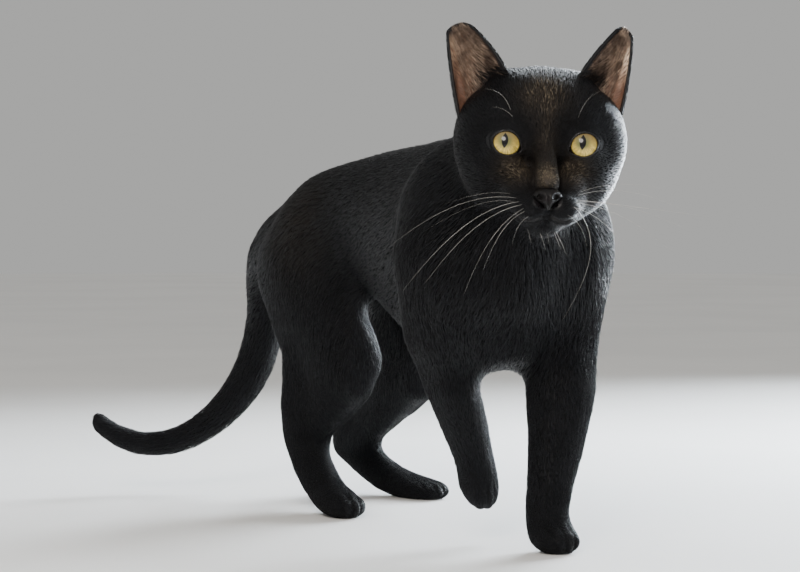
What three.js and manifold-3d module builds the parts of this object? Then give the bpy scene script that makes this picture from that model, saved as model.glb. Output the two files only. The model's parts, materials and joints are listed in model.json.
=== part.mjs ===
// A life-size model of a short-haired cat, walking, with its right forepaw lifted.
// Millimetres. +Z is up, the cat walks towards -Y, and its left side is +X.
// The flesh is one smooth shape, built up from limbs and lobes, and parted into named pieces by thin cuts.

import * as THREE from "three";
import { mergeVertices } from "three/addons/utils/BufferGeometryUtils.js";
import Module from "manifold-3d";

const wasm = await Module();
wasm.setup();

const at = (x, y, z) => new THREE.Vector3(x, y, z);
const UP = at(0, 0, 1);
const LEFT = at(1, 0, 0);

// Driving dimensions.
const GAP = 0.3; // the width of a cut between neighbouring pieces
const OVERRUN = 12; // how far a piece runs past its cut before it is trimmed

const FACET = { torso: 18, shank: 11, head: 7.5 }; // the size of a facet where the surface is free
const TUBE_SIDES = { leg: 10, tail: 8 }; // and round a tube
const SOFTNESS = { torso: 22, hip: 16, joint: 10, face: 8, throat: 14 }; // how gently neighbours merge

const EYE_RADIUS = 10.6;
const EYE_SPACING = 39;
const EYE_OPENING = { wide: 7.3, high: 6.5 }; // half the width and height of the gap between the lids
const LID = 0.9; // the lids' thickness
const SOCKET = 0.9; // how far the eye's socket is from it
const NOSE = { wide: 7.8, deep: 4.8, high: 5.6 };
const EAR = { thick: 3, thin: 2, bulge: 15, crown: 3.5, root: 3, columns: 8, rows: 7 };
// How far out each ear's inner and outer edges stand, because the two ears turn a little apart.
const EAR_TURN = { left: { inner: 2.4, outer: 0 }, right: { inner: -1, outer: 1.7 } };

const HEAD_PLACE = at(-32, -82.5, 213.5);
const HEAD_YAW = THREE.MathUtils.degToRad(-25.7); // the head turns to its right
const HEAD_ROLL = THREE.MathUtils.degToRad(1.4); // and leans a little to its left

// Shapes are distance fields: negative inside, and near the surface about the distance to it.

function smoothUnion(a, b, softness) {
  const overlap = Math.max(softness - Math.abs(a - b), 0) / softness;
  return Math.min(a, b) - (overlap * overlap * softness) / 4;
}

// The distance to an ellipsoid, from a point given along the ellipsoid's own axes.
function ellipsoidDistance(x, y, z, rx, ry, rz) {
  const scaled = Math.hypot(x / rx, y / ry, z / rz);
  const slope = Math.hypot(x / rx ** 2, y / ry ** 2, z / rz ** 2);
  return slope < 1e-9 ? -Math.min(rx, ry, rz) : (scaled * (scaled - 1)) / slope;
}

const lobe = (centre, radii) => (p) =>
  ellipsoidDistance(p.x - centre.x, p.y - centre.y, p.z - centre.z, ...radii);

// A limb follows a smooth line through its stations. Each station is [centre, half width, half depth]:
// the width lies along the limb's cross direction, and the depth is square to it and to the line.
function limb(stations, cross = null, ringsPerStretch = 5) {
  const line = new THREE.CatmullRomCurve3(stations.map((station) => station[0]), false, "centripetal");
  const last = stations.length - 1;
  const count = ringsPerStretch * last;
  const between = (t, index) => {
    const first = Math.min(Math.floor(t * last), last - 1);
    return THREE.MathUtils.lerp(stations[first][index], stations[first + 1][index], t * last - first);
  };
  const rings = [];
  for (let i = 0; i <= count; i++) {
    const along = line.getTangent(i / count);
    const across = cross ? cross.clone() : new THREE.Vector3().crossVectors(along, UP);
    across.addScaledVector(along, -across.dot(along)).normalize();
    rings.push({
      centre: line.getPoint(i / count),
      along,
      across,
      deep: new THREE.Vector3().crossVectors(along, across),
      wide: between(i / count, 1),
      tall: between(i / count, 2),
    });
  }
  const step = new THREE.Vector3();
  const offset = new THREE.Vector3();
  const distance = (p) => {
    let nearest = Infinity;
    for (let i = 0; i < count; i++) {
      const [a, b] = [rings[i], rings[i + 1]];
      step.subVectors(b.centre, a.centre);
      offset.subVectors(p, a.centre);
      const t = THREE.MathUtils.clamp(offset.dot(step) / step.lengthSq(), 0, 1);
      offset.addScaledVector(step, -t);
      const wide = THREE.MathUtils.lerp(a.wide, b.wide, t);
      const tall = THREE.MathUtils.lerp(a.tall, b.tall, t);
      const axes = t < 0.5 ? a : b;
      const [x, y, z] = [offset.dot(axes.across), offset.dot(axes.deep), offset.dot(axes.along)];
      nearest = Math.min(nearest, ellipsoidDistance(x, y, z, wide, tall, Math.min(wide, tall)));
    }
    return nearest;
  };
  return Object.assign(distance, { rings });
}

const merged = (shapes, softness) => (p) =>
  shapes.map((shape) => shape(p)).reduce((a, b) => smoothUnion(a, b, softness));

// Keeps the side of a plane that its normal points away from, and a little more.
function clipped(shape, plane, margin = OVERRUN) {
  const offset = new THREE.Vector3();
  return (p) => Math.max(shape(p), offset.subVectors(p, plane.point).dot(plane.normal) - margin);
}

const plane = (point, normal, radius = 400) => ({ point, normal: normal.normalize(), radius });
const flipped = (cut) => ({ ...cut, normal: cut.normal.clone().negate(), radius: 400 });
const FLOOR = plane(at(0, 0, 0), at(0, 0, -1));

// Moves a point onto the shape's surface along the surface's slope, but no further than the limit.
function settled(shape, start, limit) {
  const point = start.clone();
  const probe = 0.05;
  for (let pass = 0; pass < 3; pass++) {
    const value = shape(point);
    const slope = at(
      shape(point.clone().add(at(probe, 0, 0))) - value,
      shape(point.clone().add(at(0, probe, 0))) - value,
      shape(point.clone().add(at(0, 0, probe))) - value,
    ).divideScalar(probe);
    point.addScaledVector(slope, -value / Math.max(slope.lengthSq(), 0.2));
    point.sub(start).clampLength(0, limit).add(start);
  }
  return point;
}

// A closed mesh of the shape's surface, with facets of about the cell's size. Each cell of a grid that the
// surface crosses has one vertex for each group of its inside corners that hang together, and each edge of
// the grid that the surface crosses has one four-sided facet, between the four cells around it.
function surfaceOf(shape, box, cell) {
  const [nx, ny, nz] = box.getSize(at(0, 0, 0)).toArray().map((length) => Math.ceil(length / cell) + 1);
  const nodeIndex = (i, j, k) => i + nx * (j + ny * k);
  const nodePoint = (i, j, k) => at(i, j, k).multiplyScalar(cell).add(box.min);
  const values = new Float64Array(nx * ny * nz);
  for (let k = 0; k < nz; k++)
    for (let j = 0; j < ny; j++)
      for (let i = 0; i < nx; i++) values[nodeIndex(i, j, k)] = shape(nodePoint(i, j, k));

  const corners = [0, 1, 2, 3, 4, 5, 6, 7];
  const cornerNode = (i, j, k, corner) => [i + (corner & 1), j + ((corner >> 1) & 1), k + (corner >> 2)];
  const neighbours = (corner) => [corner ^ 1, corner ^ 2, corner ^ 4];

  // The label of each inside corner of a cell: the lowest corner that it hangs together with.
  function cornerLabels(i, j, k) {
    const isInside = (corner) => values[nodeIndex(...cornerNode(i, j, k, corner))] < 0;
    const labels = corners.map((corner) => (isInside(corner) ? corner : -1));
    const spread = (corner) => {
      const touching = [corner, ...neighbours(corner)].filter((each) => labels[each] >= 0);
      if (labels[corner] >= 0) labels[corner] = Math.min(...touching.map((each) => labels[each]));
    };
    for (let pass = 0; pass < corners.length; pass++) corners.forEach(spread);
    return labels;
  }

  const positions = [];
  const vertexOf = new Map(); // from a cell's index and the label of a group of its corners
  const labelsOf = new Map();
  function addCellVertices(i, j, k) {
    const labels = cornerLabels(i, j, k);
    const index = nodeIndex(i, j, k);
    labelsOf.set(index, labels);
    for (const label of new Set(labels.filter((each) => each >= 0))) {
      const crossings = [];
      for (const corner of corners.filter((each) => labels[each] === label))
        for (const next of neighbours(corner).filter((each) => labels[each] < 0)) {
          const [from, to] = [cornerNode(i, j, k, corner), cornerNode(i, j, k, next)];
          const [inner, outer] = [values[nodeIndex(...from)], values[nodeIndex(...to)]];
          crossings.push(nodePoint(...from).lerp(nodePoint(...to), inner / (inner - outer)));
        }
      if (!crossings.length) continue;
      const sum = crossings.reduce((total, each) => total.add(each), at(0, 0, 0));
      vertexOf.set(8 * index + label, positions.length / 3);
      positions.push(...settled(shape, sum.divideScalar(crossings.length), cell / 2).toArray());
    }
  }
  for (let k = 0; k < nz - 1; k++)
    for (let j = 0; j < ny - 1; j++)
      for (let i = 0; i < nx - 1; i++) addCellVertices(i, j, k);

  const triangles = [];
  const point = (vertex) => at(...positions.slice(3 * vertex, 3 * vertex + 3));
  function addFacet(start, axis) {
    const end = [...start];
    end[axis]++;
    const inside = values[nodeIndex(...start)] < 0;
    if (inside === values[nodeIndex(...end)] < 0) return;
    const [next, other] = [(axis + 1) % 3, (axis + 2) % 3];
    const ring = [[0, 0], [1, 0], [1, 1], [0, 1]].map(([back, down]) => {
      const cellPlace = [...start];
      cellPlace[next] -= back;
      cellPlace[other] -= down;
      const corner = (back << next) | (down << other) | (inside ? 0 : 1 << axis);
      const index = nodeIndex(...cellPlace);
      return vertexOf.get(8 * index + labelsOf.get(index)[corner]);
    });
    const [a, b, c, d] = inside ? ring : ring.reverse();
    const shorter = point(a).distanceTo(point(c)) < point(b).distanceTo(point(d));
    triangles.push(...(shorter ? [a, b, c, a, c, d] : [b, c, d, b, d, a]));
  }
  for (let k = 1; k < nz - 1; k++)
    for (let j = 1; j < ny - 1; j++)
      for (let i = 1; i < nx - 1; i++) for (let axis = 0; axis < 3; axis++) addFacet([i, j, k], axis);

  const geometry = new THREE.BufferGeometry();
  geometry.setAttribute("position", new THREE.Float32BufferAttribute(positions, 3));
  return geometry.setIndex(triangles);
}

// Where a ray from inside the shape meets its surface.
function surfaceAlong(shape, start, direction) {
  const reach = (length) => start.clone().addScaledVector(direction, length);
  const stride = 1.5;
  let outer = stride;
  while (shape(reach(outer)) < 0) outer += stride;
  let inner = outer - stride;
  for (let pass = 0; pass < 12; pass++) {
    const middle = (inner + outer) / 2;
    if (shape(reach(middle)) < 0) inner = middle;
    else outer = middle;
  }
  return reach(outer);
}

// A closed tube of rings round a limb's line, with round ends, and with every vertex on the shape's surface.
function tubeOf(line, shape, sides) {
  const positions = [];
  const first = line.rings[0];
  const last = line.rings[line.rings.length - 1];
  const addRing = ({ centre, across, deep, along, wide, tall }, slant) => {
    for (let i = 0; i < sides; i++) {
      const angle = (2 * Math.PI * i) / sides;
      const direction = across.clone().multiplyScalar(wide * Math.cos(angle));
      direction.addScaledVector(deep, tall * Math.sin(angle)).normalize();
      direction.multiplyScalar(Math.cos(slant)).addScaledVector(along, Math.sin(slant));
      positions.push(surfaceAlong(shape, centre, direction));
    }
  };
  const lean = 0.7;
  positions.push(surfaceAlong(shape, first.centre, first.along.clone().negate()));
  addRing(first, -lean);
  for (const ring of line.rings) addRing(ring, 0);
  addRing(last, lean);
  positions.push(surfaceAlong(shape, last.centre, last.along));

  const triangles = [];
  const ringCount = (positions.length - 2) / sides;
  const end = positions.length - 1;
  for (let i = 0; i < sides; i++) {
    const next = (i + 1) % sides;
    triangles.push(0, 1 + next, 1 + i);
    triangles.push(end, end - sides + i, end - sides + next);
    for (let ring = 0; ring < ringCount - 1; ring++) {
      const [low, high] = [1 + ring * sides, 1 + (ring + 1) * sides];
      triangles.push(low + i, low + next, high + next, low + i, high + next, high + i);
    }
  }
  const geometry = new THREE.BufferGeometry().setFromPoints(positions);
  return geometry.setIndex(triangles);
}

// Solids for joining and cutting.

function solidOf(geometry) {
  const plain = geometry.clone();
  plain.deleteAttribute("normal");
  plain.deleteAttribute("uv");
  const welded = mergeVertices(plain, 1e-4);
  const mesh = new wasm.Mesh({
    numProp: 3,
    vertProperties: new Float32Array(welded.attributes.position.array),
    triVerts: new Uint32Array(welded.index.array),
  });
  return new wasm.Manifold(mesh);
}

function geometryOf(solid) {
  const mesh = solid.getMesh();
  const geometry = new THREE.BufferGeometry();
  geometry.setAttribute("position", new THREE.BufferAttribute(new Float32Array(mesh.vertProperties), 3));
  geometry.setIndex(new THREE.BufferAttribute(new Uint32Array(mesh.triVerts), 1));
  return geometry.toNonIndexed();
}

// Cuts away what lies beyond a plane, within the plane's radius. Half of the gap comes off each side.
function trimmed(solid, cut, gap = GAP) {
  const depth = Math.min(cut.radius * 1.2, 500);
  const geometry = new THREE.CylinderGeometry(cut.radius, cut.radius, depth, 24);
  geometry.translate(0, (depth - gap) / 2, 0);
  geometry.applyQuaternion(new THREE.Quaternion().setFromUnitVectors(at(0, 1, 0), cut.normal));
  geometry.translate(...cut.point.toArray());
  return solid.subtract(solidOf(geometry));
}

const fieldSolid = (shape, corner, opposite, cell) =>
  solidOf(surfaceOf(shape, new THREE.Box3(at(...corner), at(...opposite)), cell));

// The trunk: a line from the breast to the root of the tail, bent a little to the cat's right.

const trunk = limb([
  [at(-23, -30, 150), 27, 34],
  [at(-11, -4, 156), 43, 62],
  [at(-1, 32, 158), 47, 65],
  [at(5, 74, 161), 47, 61],
  [at(9, 128, 170), 43, 49],
  [at(6, 169, 176), 38, 38],
  [at(0, 212, 173), 34, 33],
  [at(-6, 244, 161), 27, 27],
  [at(-12, 266, 156), 16, 17],
], null, 3);

const neck = limb([
  [at(-8, 10, 180), 36, 41],
  [at(-17, -28, 194), 32, 36],
  [at(-20, -52, 206), 28, 30],
], null, 3);

// The legs. Each has an upper part in the torso, a lower part and a foot, and a direction across it, which
// is about square to the plane in which it bends. A cut parts the upper part from the lower one, and another
// parts the lower one from the foot. The joint line and the inner offsets place the upper part's own cut.

const ACROSS = { fore: LEFT, hindLeft: at(0.98, -0.2, 0), hindRight: at(0.98, 0.2, 0) };

const legs = {
  fore_left: {
    side: 1,
    upperName: "shoulder_left",
    lowerName: "forearm_left",
    footName: "forepaw_left",
    upper: [
      limb([
        [at(16, 6, 191), 20, 30],
        [at(24, -8, 174), 23, 33],
        [at(25, -13, 156), 24, 34],
        [at(29, -2, 112), 17.5, 22],
      ], ACROSS.fore),
    ],
    lower: limb([
      [at(29, -2, 112), 17.5, 22],
      [at(22.5, -11, 84), 20, 19.5],
      [at(13, -21, 52), 15.5, 14],
      [at(6.5, -26, 34), 13, 12],
      [at(3, -31, 20), 12, 10.5],
    ], ACROSS.fore, 2),
    foot: limb([
      [at(6.5, -26, 34), 13, 12],
      [at(3, -29, 18), 12, 11.5],
      [at(2, -36, 9), 14, 10],
      [at(1, -46, 6), 12.5, 7.5],
    ], ACROSS.fore, 3),
    upperCut: plane(at(24, -9, 90), at(-0.15, -0.25, -1), 24),
    lowerCut: plane(at(5, -27, 28), at(0, -0.3, -1)),
    flap: { top: at(14, 6, 178), bottom: at(27, -6, 90), radius: 33, innerTop: 2, innerBottom: 20 },
  },
  fore_right: {
    side: -1,
    upperName: "shoulder_right",
    lowerName: "forearm_right",
    footName: "forepaw_right",
    upper: [
      limb([
        [at(-34, 24, 190), 16, 28],
        [at(-52, -4, 152), 20, 34],
        [at(-43, 8, 114), 16, 21],
      ], ACROSS.fore),
    ],
    lower: limb([
      [at(-43, 8, 114), 16, 21],
      [at(-32, 12, 86), 14.8, 16.5],
      [at(-20, 18, 62), 12.8, 12.8],
      [at(-14, 21, 48), 11.3, 11.3],
      [at(-11, 22, 38), 11.2, 10.8],
    ], ACROSS.fore, 2),
    foot: limb([
      [at(-14, 21, 50), 11.3, 11.3],
      [at(-11, 22, 40), 11.2, 10.8],
      [at(-10, 21, 31), 11.6, 9.8],
      [at(-9, 17, 23.5), 9.5, 7],
    ], ACROSS.fore, 3),
    upperCut: plane(at(-34, 11, 90), at(0.3, 0.15, -1), 21),
    lowerCut: plane(at(-13, 22, 44), at(0.3, 0, -1)),
    flap: { top: at(-38, 12, 178), bottom: at(-42, 4, 90), radius: 33, innerTop: 2, innerBottom: 20 },
  },
  hind_left: {
    side: 1,
    upperName: "thigh_left",
    lowerName: "shank_left",
    footName: "hind_foot_left",
    upper: [
      limb([
        [at(26, 222, 158), 20, 36],
        [at(34, 205, 122), 19, 33],
        [at(41, 190, 86), 15, 24],
      ], ACROSS.hindLeft),
      limb([
        [at(22, 244, 142), 15, 17],
        [at(32, 230, 112), 13, 18],
        [at(38, 218, 84), 11, 16],
        [at(40, 230, 64), 9, 10],
      ], ACROSS.hindLeft),
    ],
    lower: limb([
      [at(42, 188, 84), 15, 23],
      [at(42, 206, 70), 14, 18],
      [at(41, 226, 58), 12, 15.5],
      [at(40, 246.5, 46), 11.5, 14.5],
      [at(36, 269, 34), 9.5, 12],
    ], ACROSS.hindLeft, 2),
    foot: limb([
      [at(36, 269, 34), 10, 13],
      [at(43, 252, 19), 10.5, 11],
      [at(51, 232, 9), 12, 9],
      [at(58, 214, 6), 14, 7.5],
      [at(64, 201, 4.5), 12, 5.5],
    ], ACROSS.hindLeft, 2),
    bent: true,
    upperCut: plane(at(42, 203, 76), at(0, 0.2, -1), 48),
    lowerCut: plane(at(36, 269, 34), at(0.15, 0.15, -1)),
    flap: { top: at(26, 214, 152), bottom: at(41, 196, 62), radius: 46, innerTop: 6, innerBottom: 22 },
  },
  hind_right: {
    side: -1,
    upperName: "thigh_right",
    lowerName: "shank_right",
    footName: "hind_foot_right",
    upper: [
      limb([
        [at(-27, 212, 158), 20, 36],
        [at(-24, 188, 126), 19, 34],
        [at(-18, 160, 90), 15, 24],
      ], ACROSS.hindRight),
      limb([
        [at(-28, 236, 142), 15, 17],
        [at(-26, 222, 112), 13, 18],
        [at(-26, 208, 84), 11.5, 16],
        [at(-27, 215, 62), 10.5, 11.5],
      ], ACROSS.hindRight),
    ],
    lower: limb([
      [at(-18, 158, 90), 15, 24],
      [at(-19, 184, 68), 14, 19],
      [at(-22, 214, 46), 11, 13.5],
    ], ACROSS.hindRight, 3),
    foot: limb([
      [at(-22, 217, 46), 11, 15],
      [at(-25, 198, 27), 11.5, 13],
      [at(-27, 172, 12), 12, 11],
      [at(-29, 154, 8), 14, 9],
      [at(-29, 141, 6), 12.5, 7],
    ], ACROSS.hindRight, 2),
    bent: true,
    upperCut: plane(at(-24, 180, 82), at(0, 0.2, -1), 48),
    lowerCut: plane(at(-22, 216, 45), at(-0.15, 0.1, -1)),
    flap: { top: at(-27, 204, 152), bottom: at(-18, 166, 66), radius: 46, innerTop: 6, innerBottom: 22 },
  },
};

const tail = limb([
  [at(-12, 262, 157), 15, 15],
  [at(-14, 285, 144), 14, 14],
  [at(-11, 295, 112), 13, 13],
  [at(-13.5, 304, 84), 13, 13],
  [at(-26.5, 310, 59), 11.6, 11.6],
  [at(-52, 317, 37), 9.2, 9.2],
  [at(-78, 326, 30.5), 8.2, 8.2],
  [at(-97, 334, 36), 7.2, 7.2],
  [at(-109, 339, 45.5), 6, 6],
], at(0.7, 0.7, 0), 2);

// The head, shaped in its own frame: the origin is midway between the eyes, and -Y is where it looks.

const headFrame = new THREE.Matrix4()
  .makeRotationFromEuler(new THREE.Euler(0, HEAD_ROLL, HEAD_YAW, "ZYX"))
  .setPosition(HEAD_PLACE);

const onBothSides = (make) => [1, -1].map(make);
const eyeCentre = (side) => at((side * EYE_SPACING) / 2, -1, 0);

const headShape = merged([
  lobe(at(0, 27, 9), [38, 38, 32.5]),
  ...onBothSides((side) => lobe(at(side * 27.3, 20, 2), [17.5, 24, 25])),
  ...onBothSides((side) => lobe(at(side * 22, 15, -17), [15.5, 20, 17])),
  ...onBothSides((side) => lobe(at(side * 20, 3, -12), [12, 11, 9])),
  ...onBothSides((side) => lobe(eyeCentre(side), Array(3).fill(EYE_RADIUS + LID))),
  ...onBothSides((side) => lobe(at(side * 17, 24, 29.5), [10, 14, 9])),
  limb([[at(0, 0, 11), 9, 11], [at(0, -12, -6), 6.5, 9.5], [at(0, -24, -19), 6.5, 6.5]], LEFT),
  ...onBothSides((side) => lobe(at(side * 7.5, -18, -33), [10, 12, 8.5])),
  ...onBothSides((side) => lobe(at(side * 12, -4, -24), [10, 13, 12])),
  lobe(at(0, -10, -39.5), [9.5, 12, 8]),
  lobe(at(0, 14, -28), [24, 24, 17]),
], SOFTNESS.face);

const head = (() => {
  const toHead = headFrame.clone().invert();
  const local = new THREE.Vector3();
  return (p) => headShape(local.copy(p).applyMatrix4(toHead));
})();

const inHeadFrame = (geometry) => geometry.applyMatrix4(headFrame);

// An ear is a thin cup. Its front edges run up from the brow and from the cheek, its crown is round, and its
// back bulges behind them. A flat box becomes the cup: its X runs from edge to edge, and its Y from the root
// up.
function earGeometry(side, grow = 0) {
  const turn = side > 0 ? EAR_TURN.left : EAR_TURN.right;
  const bend = (root, middle, tip) => new THREE.QuadraticBezierCurve3(root, middle, tip);
  const inner = bend(at(14.5, 9, 30), at(24.5 + turn.inner, 17, 50), at(37 + turn.inner, 27, 60.5));
  const outer = bend(
    at(40.7 + turn.outer, 17, 13),
    at(46 + turn.outer, 18, 37),
    at(47 + turn.outer, 27, 58),
  );
  const cup = (u, v) => {
    const point = inner.getPoint(v).lerp(outer.getPoint(v), (1 + u) / 2);
    point.y += EAR.bulge * (1 - u * u) * (1 - v * 0.8);
    point.z += EAR.crown * (1 - u * u) * v ** 3;
    return point;
  };
  const rootOf = (u) => {
    let v = 0.6;
    while (v > 0.02 && headShape(cup(u, v)) > -EAR.root) v -= 0.01;
    return v - grow / 10;
  };
  const geometry = new THREE.BoxGeometry(2, 1, 1, EAR.columns, EAR.rows, 1);
  const position = geometry.attributes.position;
  for (let i = 0; i < position.count; i++) {
    const u = THREE.MathUtils.clamp(position.getX(i), -0.99, 0.99) * (1 + grow / 10);
    const v = THREE.MathUtils.lerp(rootOf(u), 0.98, position.getY(i) + 0.5);
    const acrossStep = cup(u + 0.01, v).sub(cup(u - 0.01, v));
    const normal = acrossStep.cross(cup(u, v + 0.01).sub(cup(u, v - 0.01))).normalize();
    const thickness = THREE.MathUtils.lerp(EAR.thick, EAR.thin, v) + 2 * grow;
    position.setXYZ(i, ...cup(u, v).addScaledVector(normal, position.getZ(i) * thickness).toArray());
  }
  if (side < 0) {
    geometry.scale(-1, 1, 1);
    geometry.index.array.reverse();
  }
  return inHeadFrame(geometry);
}

function eyeGeometry(side, radius, facets) {
  const geometry = new THREE.SphereGeometry(radius, facets, 0.6 * facets);
  geometry.rotateX(Math.PI / 2);
  return inHeadFrame(geometry.translate(...eyeCentre(side).toArray()));
}

// The opening between the lids, from the middle of the eyeball outwards.
function lidOpening(side) {
  const depth = 30;
  const geometry = new THREE.CylinderGeometry(1, 1, depth, 12);
  geometry.scale(EYE_OPENING.wide, 1, EYE_OPENING.high);
  geometry.translate(0, -depth / 2, 0);
  return inHeadFrame(geometry.translate(...eyeCentre(side).toArray()));
}

// The bare leather at the tip of the nose.
function noseGeometry(grow = 0) {
  const geometry = new THREE.SphereGeometry(1, 10, 7);
  geometry.scale(NOSE.wide + grow, NOSE.deep + grow, NOSE.high + grow);
  return inHeadFrame(geometry.translate(0, -29, -27.5));
}

// Materials.

const material = (color, roughness) => new THREE.MeshStandardMaterial({ color, roughness, metalness: 0 });
const fur = material(0x17161a, 0.75);
const innerEar = material(0x3a2a28, 0.8);
const leather = material(0x0c0b0c, 0.45);
const iris = material(0xc9a227, 0.1);

// The pieces.

const cat = new THREE.Group();

function piece(name, shape, look) {
  const mesh = new THREE.Mesh(shape.isBufferGeometry ? shape : geometryOf(shape), look);
  mesh.name = name;
  cat.add(mesh);
}

const neckBase = plane(at(-13, -18, 188), at(-0.2, -0.5, 0.85));
const neckTop = plane(at(-20, -37, 197), at(-0.2, -0.72, 0.68));
const chestEnd = plane(at(6, 92, 160), at(0.05, 1, 0));
const loinEnd = plane(at(5, 172, 170), at(-0.05, 1, 0));
const tailCuts = [
  plane(at(-12, 270, 152), at(-0.1, 0.75, -0.65), 40),
  plane(at(-14, 306, 82), at(-0.3, 0.15, -1)),
  plane(at(-52, 317, 39), at(-0.88, 0.25, -0.35)),
];

// The torso with the upper legs on it and the neck, but nothing past the joints.
function makeTorso() {
  const parts = Object.values(legs);
  const legShape = (leg) => clipped(merged([...leg.upper, leg.lower], SOFTNESS.joint), leg.upperCut);
  const legShapes = parts.map(legShape);
  const trunkAndTail = merged([trunk, neck, clipped(tail, tailCuts[0])], SOFTNESS.torso);
  const core = merged([trunkAndTail, head], SOFTNESS.throat);
  const shape = (p) => legShapes.reduce((sum, leg) => smoothUnion(sum, leg(p), SOFTNESS.hip), core(p));
  const solid = fieldSolid(clipped(shape, neckTop), [-110, -100, 20], [110, 330, 270], FACET.torso);
  const cuts = [neckTop, tailCuts[0], ...parts.map((leg) => leg.upperCut)];
  return cuts.reduce((rest, cut) => trimmed(rest, cut), solid);
}

// The cutter for an upper leg: a flat-faced block with round ends, from its inner face outwards.
function flapCutter({ side, flap }, grow) {
  const along = flap.bottom.clone().sub(flap.top);
  const outward = LEFT.clone().multiplyScalar(side);
  const top = flap.top.clone().addScaledVector(outward, -flap.innerTop);
  const bottom = flap.bottom.clone().addScaledVector(outward, -flap.innerBottom);
  const xAxis = bottom.clone().sub(top).normalize();
  const zAxis = outward.clone().addScaledVector(xAxis, -outward.dot(xAxis)).normalize();
  const yAxis = new THREE.Vector3().crossVectors(zAxis, xAxis);
  const radius = flap.radius + grow;
  const outline = new THREE.Shape();
  outline.absarc(0, 0, radius, Math.PI / 2, -Math.PI / 2 + 2 * Math.PI, false);
  outline.absarc(along.length(), 0, radius, -Math.PI / 2, Math.PI / 2, false);
  const geometry = new THREE.ExtrudeGeometry(outline, { depth: 90, bevelEnabled: false, curveSegments: 4 });
  geometry.translate(0, 0, -grow);
  const frame = new THREE.Matrix4().makeBasis(xAxis, yAxis, zAxis).setPosition(top);
  return solidOf(geometry.applyMatrix4(frame));
}

// A hind leg bends so sharply at the hock that its shank and foot meet in a mitre, as one shape.
function shankSolid(leg, above) {
  const whole = merged([above, leg.foot], SOFTNESS.joint);
  const shape = clipped(clipped(whole, flipped(leg.upperCut)), leg.lowerCut);
  return fieldSolid(shape, [-90, 120, -20], [110, 330, 150], FACET.shank);
}

function makeLower(leg) {
  const above = merged([...leg.upper, leg.lower], SOFTNESS.joint);
  const solid = leg.bent ? shankSolid(leg, above) : solidOf(tubeOf(leg.lower, above, TUBE_SIDES.leg));
  return trimmed(trimmed(solid, flipped(leg.upperCut)), leg.lowerCut);
}

function makeFoot(leg) {
  const whole = merged([leg.lower, leg.foot], SOFTNESS.joint);
  const shape = leg.bent ? clipped(whole, flipped(leg.lowerCut), 3) : leg.foot;
  const solid = solidOf(tubeOf(leg.foot, shape, TUBE_SIDES.leg));
  return trimmed(trimmed(solid, flipped(leg.lowerCut)), FLOOR, 0);
}

let torso = makeTorso();
for (const leg of Object.values(legs)) {
  piece(leg.upperName, torso.intersect(flapCutter(leg, 0)), fur);
  torso = torso.subtract(flapCutter(leg, GAP));
  piece(leg.lowerName, makeLower(leg), fur);
  piece(leg.footName, makeFoot(leg), fur);
}
piece("neck", trimmed(torso, flipped(neckBase)), fur);
piece("chest", trimmed(trimmed(torso, neckBase), chestEnd), fur);
piece("loin", trimmed(trimmed(torso, flipped(chestEnd)), loinEnd), fur);
piece("rump", trimmed(torso, flipped(loinEnd)), fur);

function makeHead() {
  const neckAndTrunk = merged([trunk, neck], SOFTNESS.torso);
  const shape = clipped(merged([neckAndTrunk, head], SOFTNESS.throat), flipped(neckTop));
  let solid = trimmed(fieldSolid(shape, [-110, -140, 140], [60, 20, 290], FACET.head), flipped(neckTop));
  for (const side of [1, -1]) {
    solid = solid.subtract(solidOf(eyeGeometry(side, EYE_RADIUS + SOCKET, 10)));
    solid = solid.subtract(solidOf(lidOpening(side)));
    solid = solid.subtract(solidOf(earGeometry(side, GAP)));
  }
  return solid.subtract(solidOf(noseGeometry(GAP)));
}

piece("head", makeHead(), fur);
piece("nose", noseGeometry(), leather);
for (const [name, side] of [["left", 1], ["right", -1]]) {
  piece("eye_" + name, eyeGeometry(side, EYE_RADIUS, 14), iris);
  piece("ear_" + name, earGeometry(side), innerEar);
}

const tailFromTrunk = merged([trunk, tail], SOFTNESS.torso);
["tail_base", "tail_middle", "tail_tip"].forEach((name, i) => {
  const solid = trimmed(solidOf(tubeOf(tail, tailFromTrunk, TUBE_SIDES.tail)), flipped(tailCuts[i]));
  const next = tailCuts[i + 1];
  piece(name, next ? trimmed(solid, next) : solid, fur);
});

// The model's origin is the middle of the floor under it.
const bounds = new THREE.Box3().setFromObject(cat);
const middle = bounds.getCenter(at(0, 0, 0));
cat.position.set(-middle.x, -middle.y, -bounds.min.z);

export default cat;
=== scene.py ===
"""The looks of a life-size still model of a short-haired black cat that walks with one forepaw raised.

One skin stands for the flesh solids, inside them by the depth of the coat. Over it lie the locks of the coat,
and beside it stand the eyeballs, the nose's leather, the ears and the whiskers.
"""

import json
import math
from contextlib import contextmanager

import bmesh
import bpy
import numpy as np
from bpy.props import FloatProperty, FloatVectorProperty, IntProperty, PointerProperty
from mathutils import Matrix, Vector
from mathutils.bvhtree import BVHTree

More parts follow.
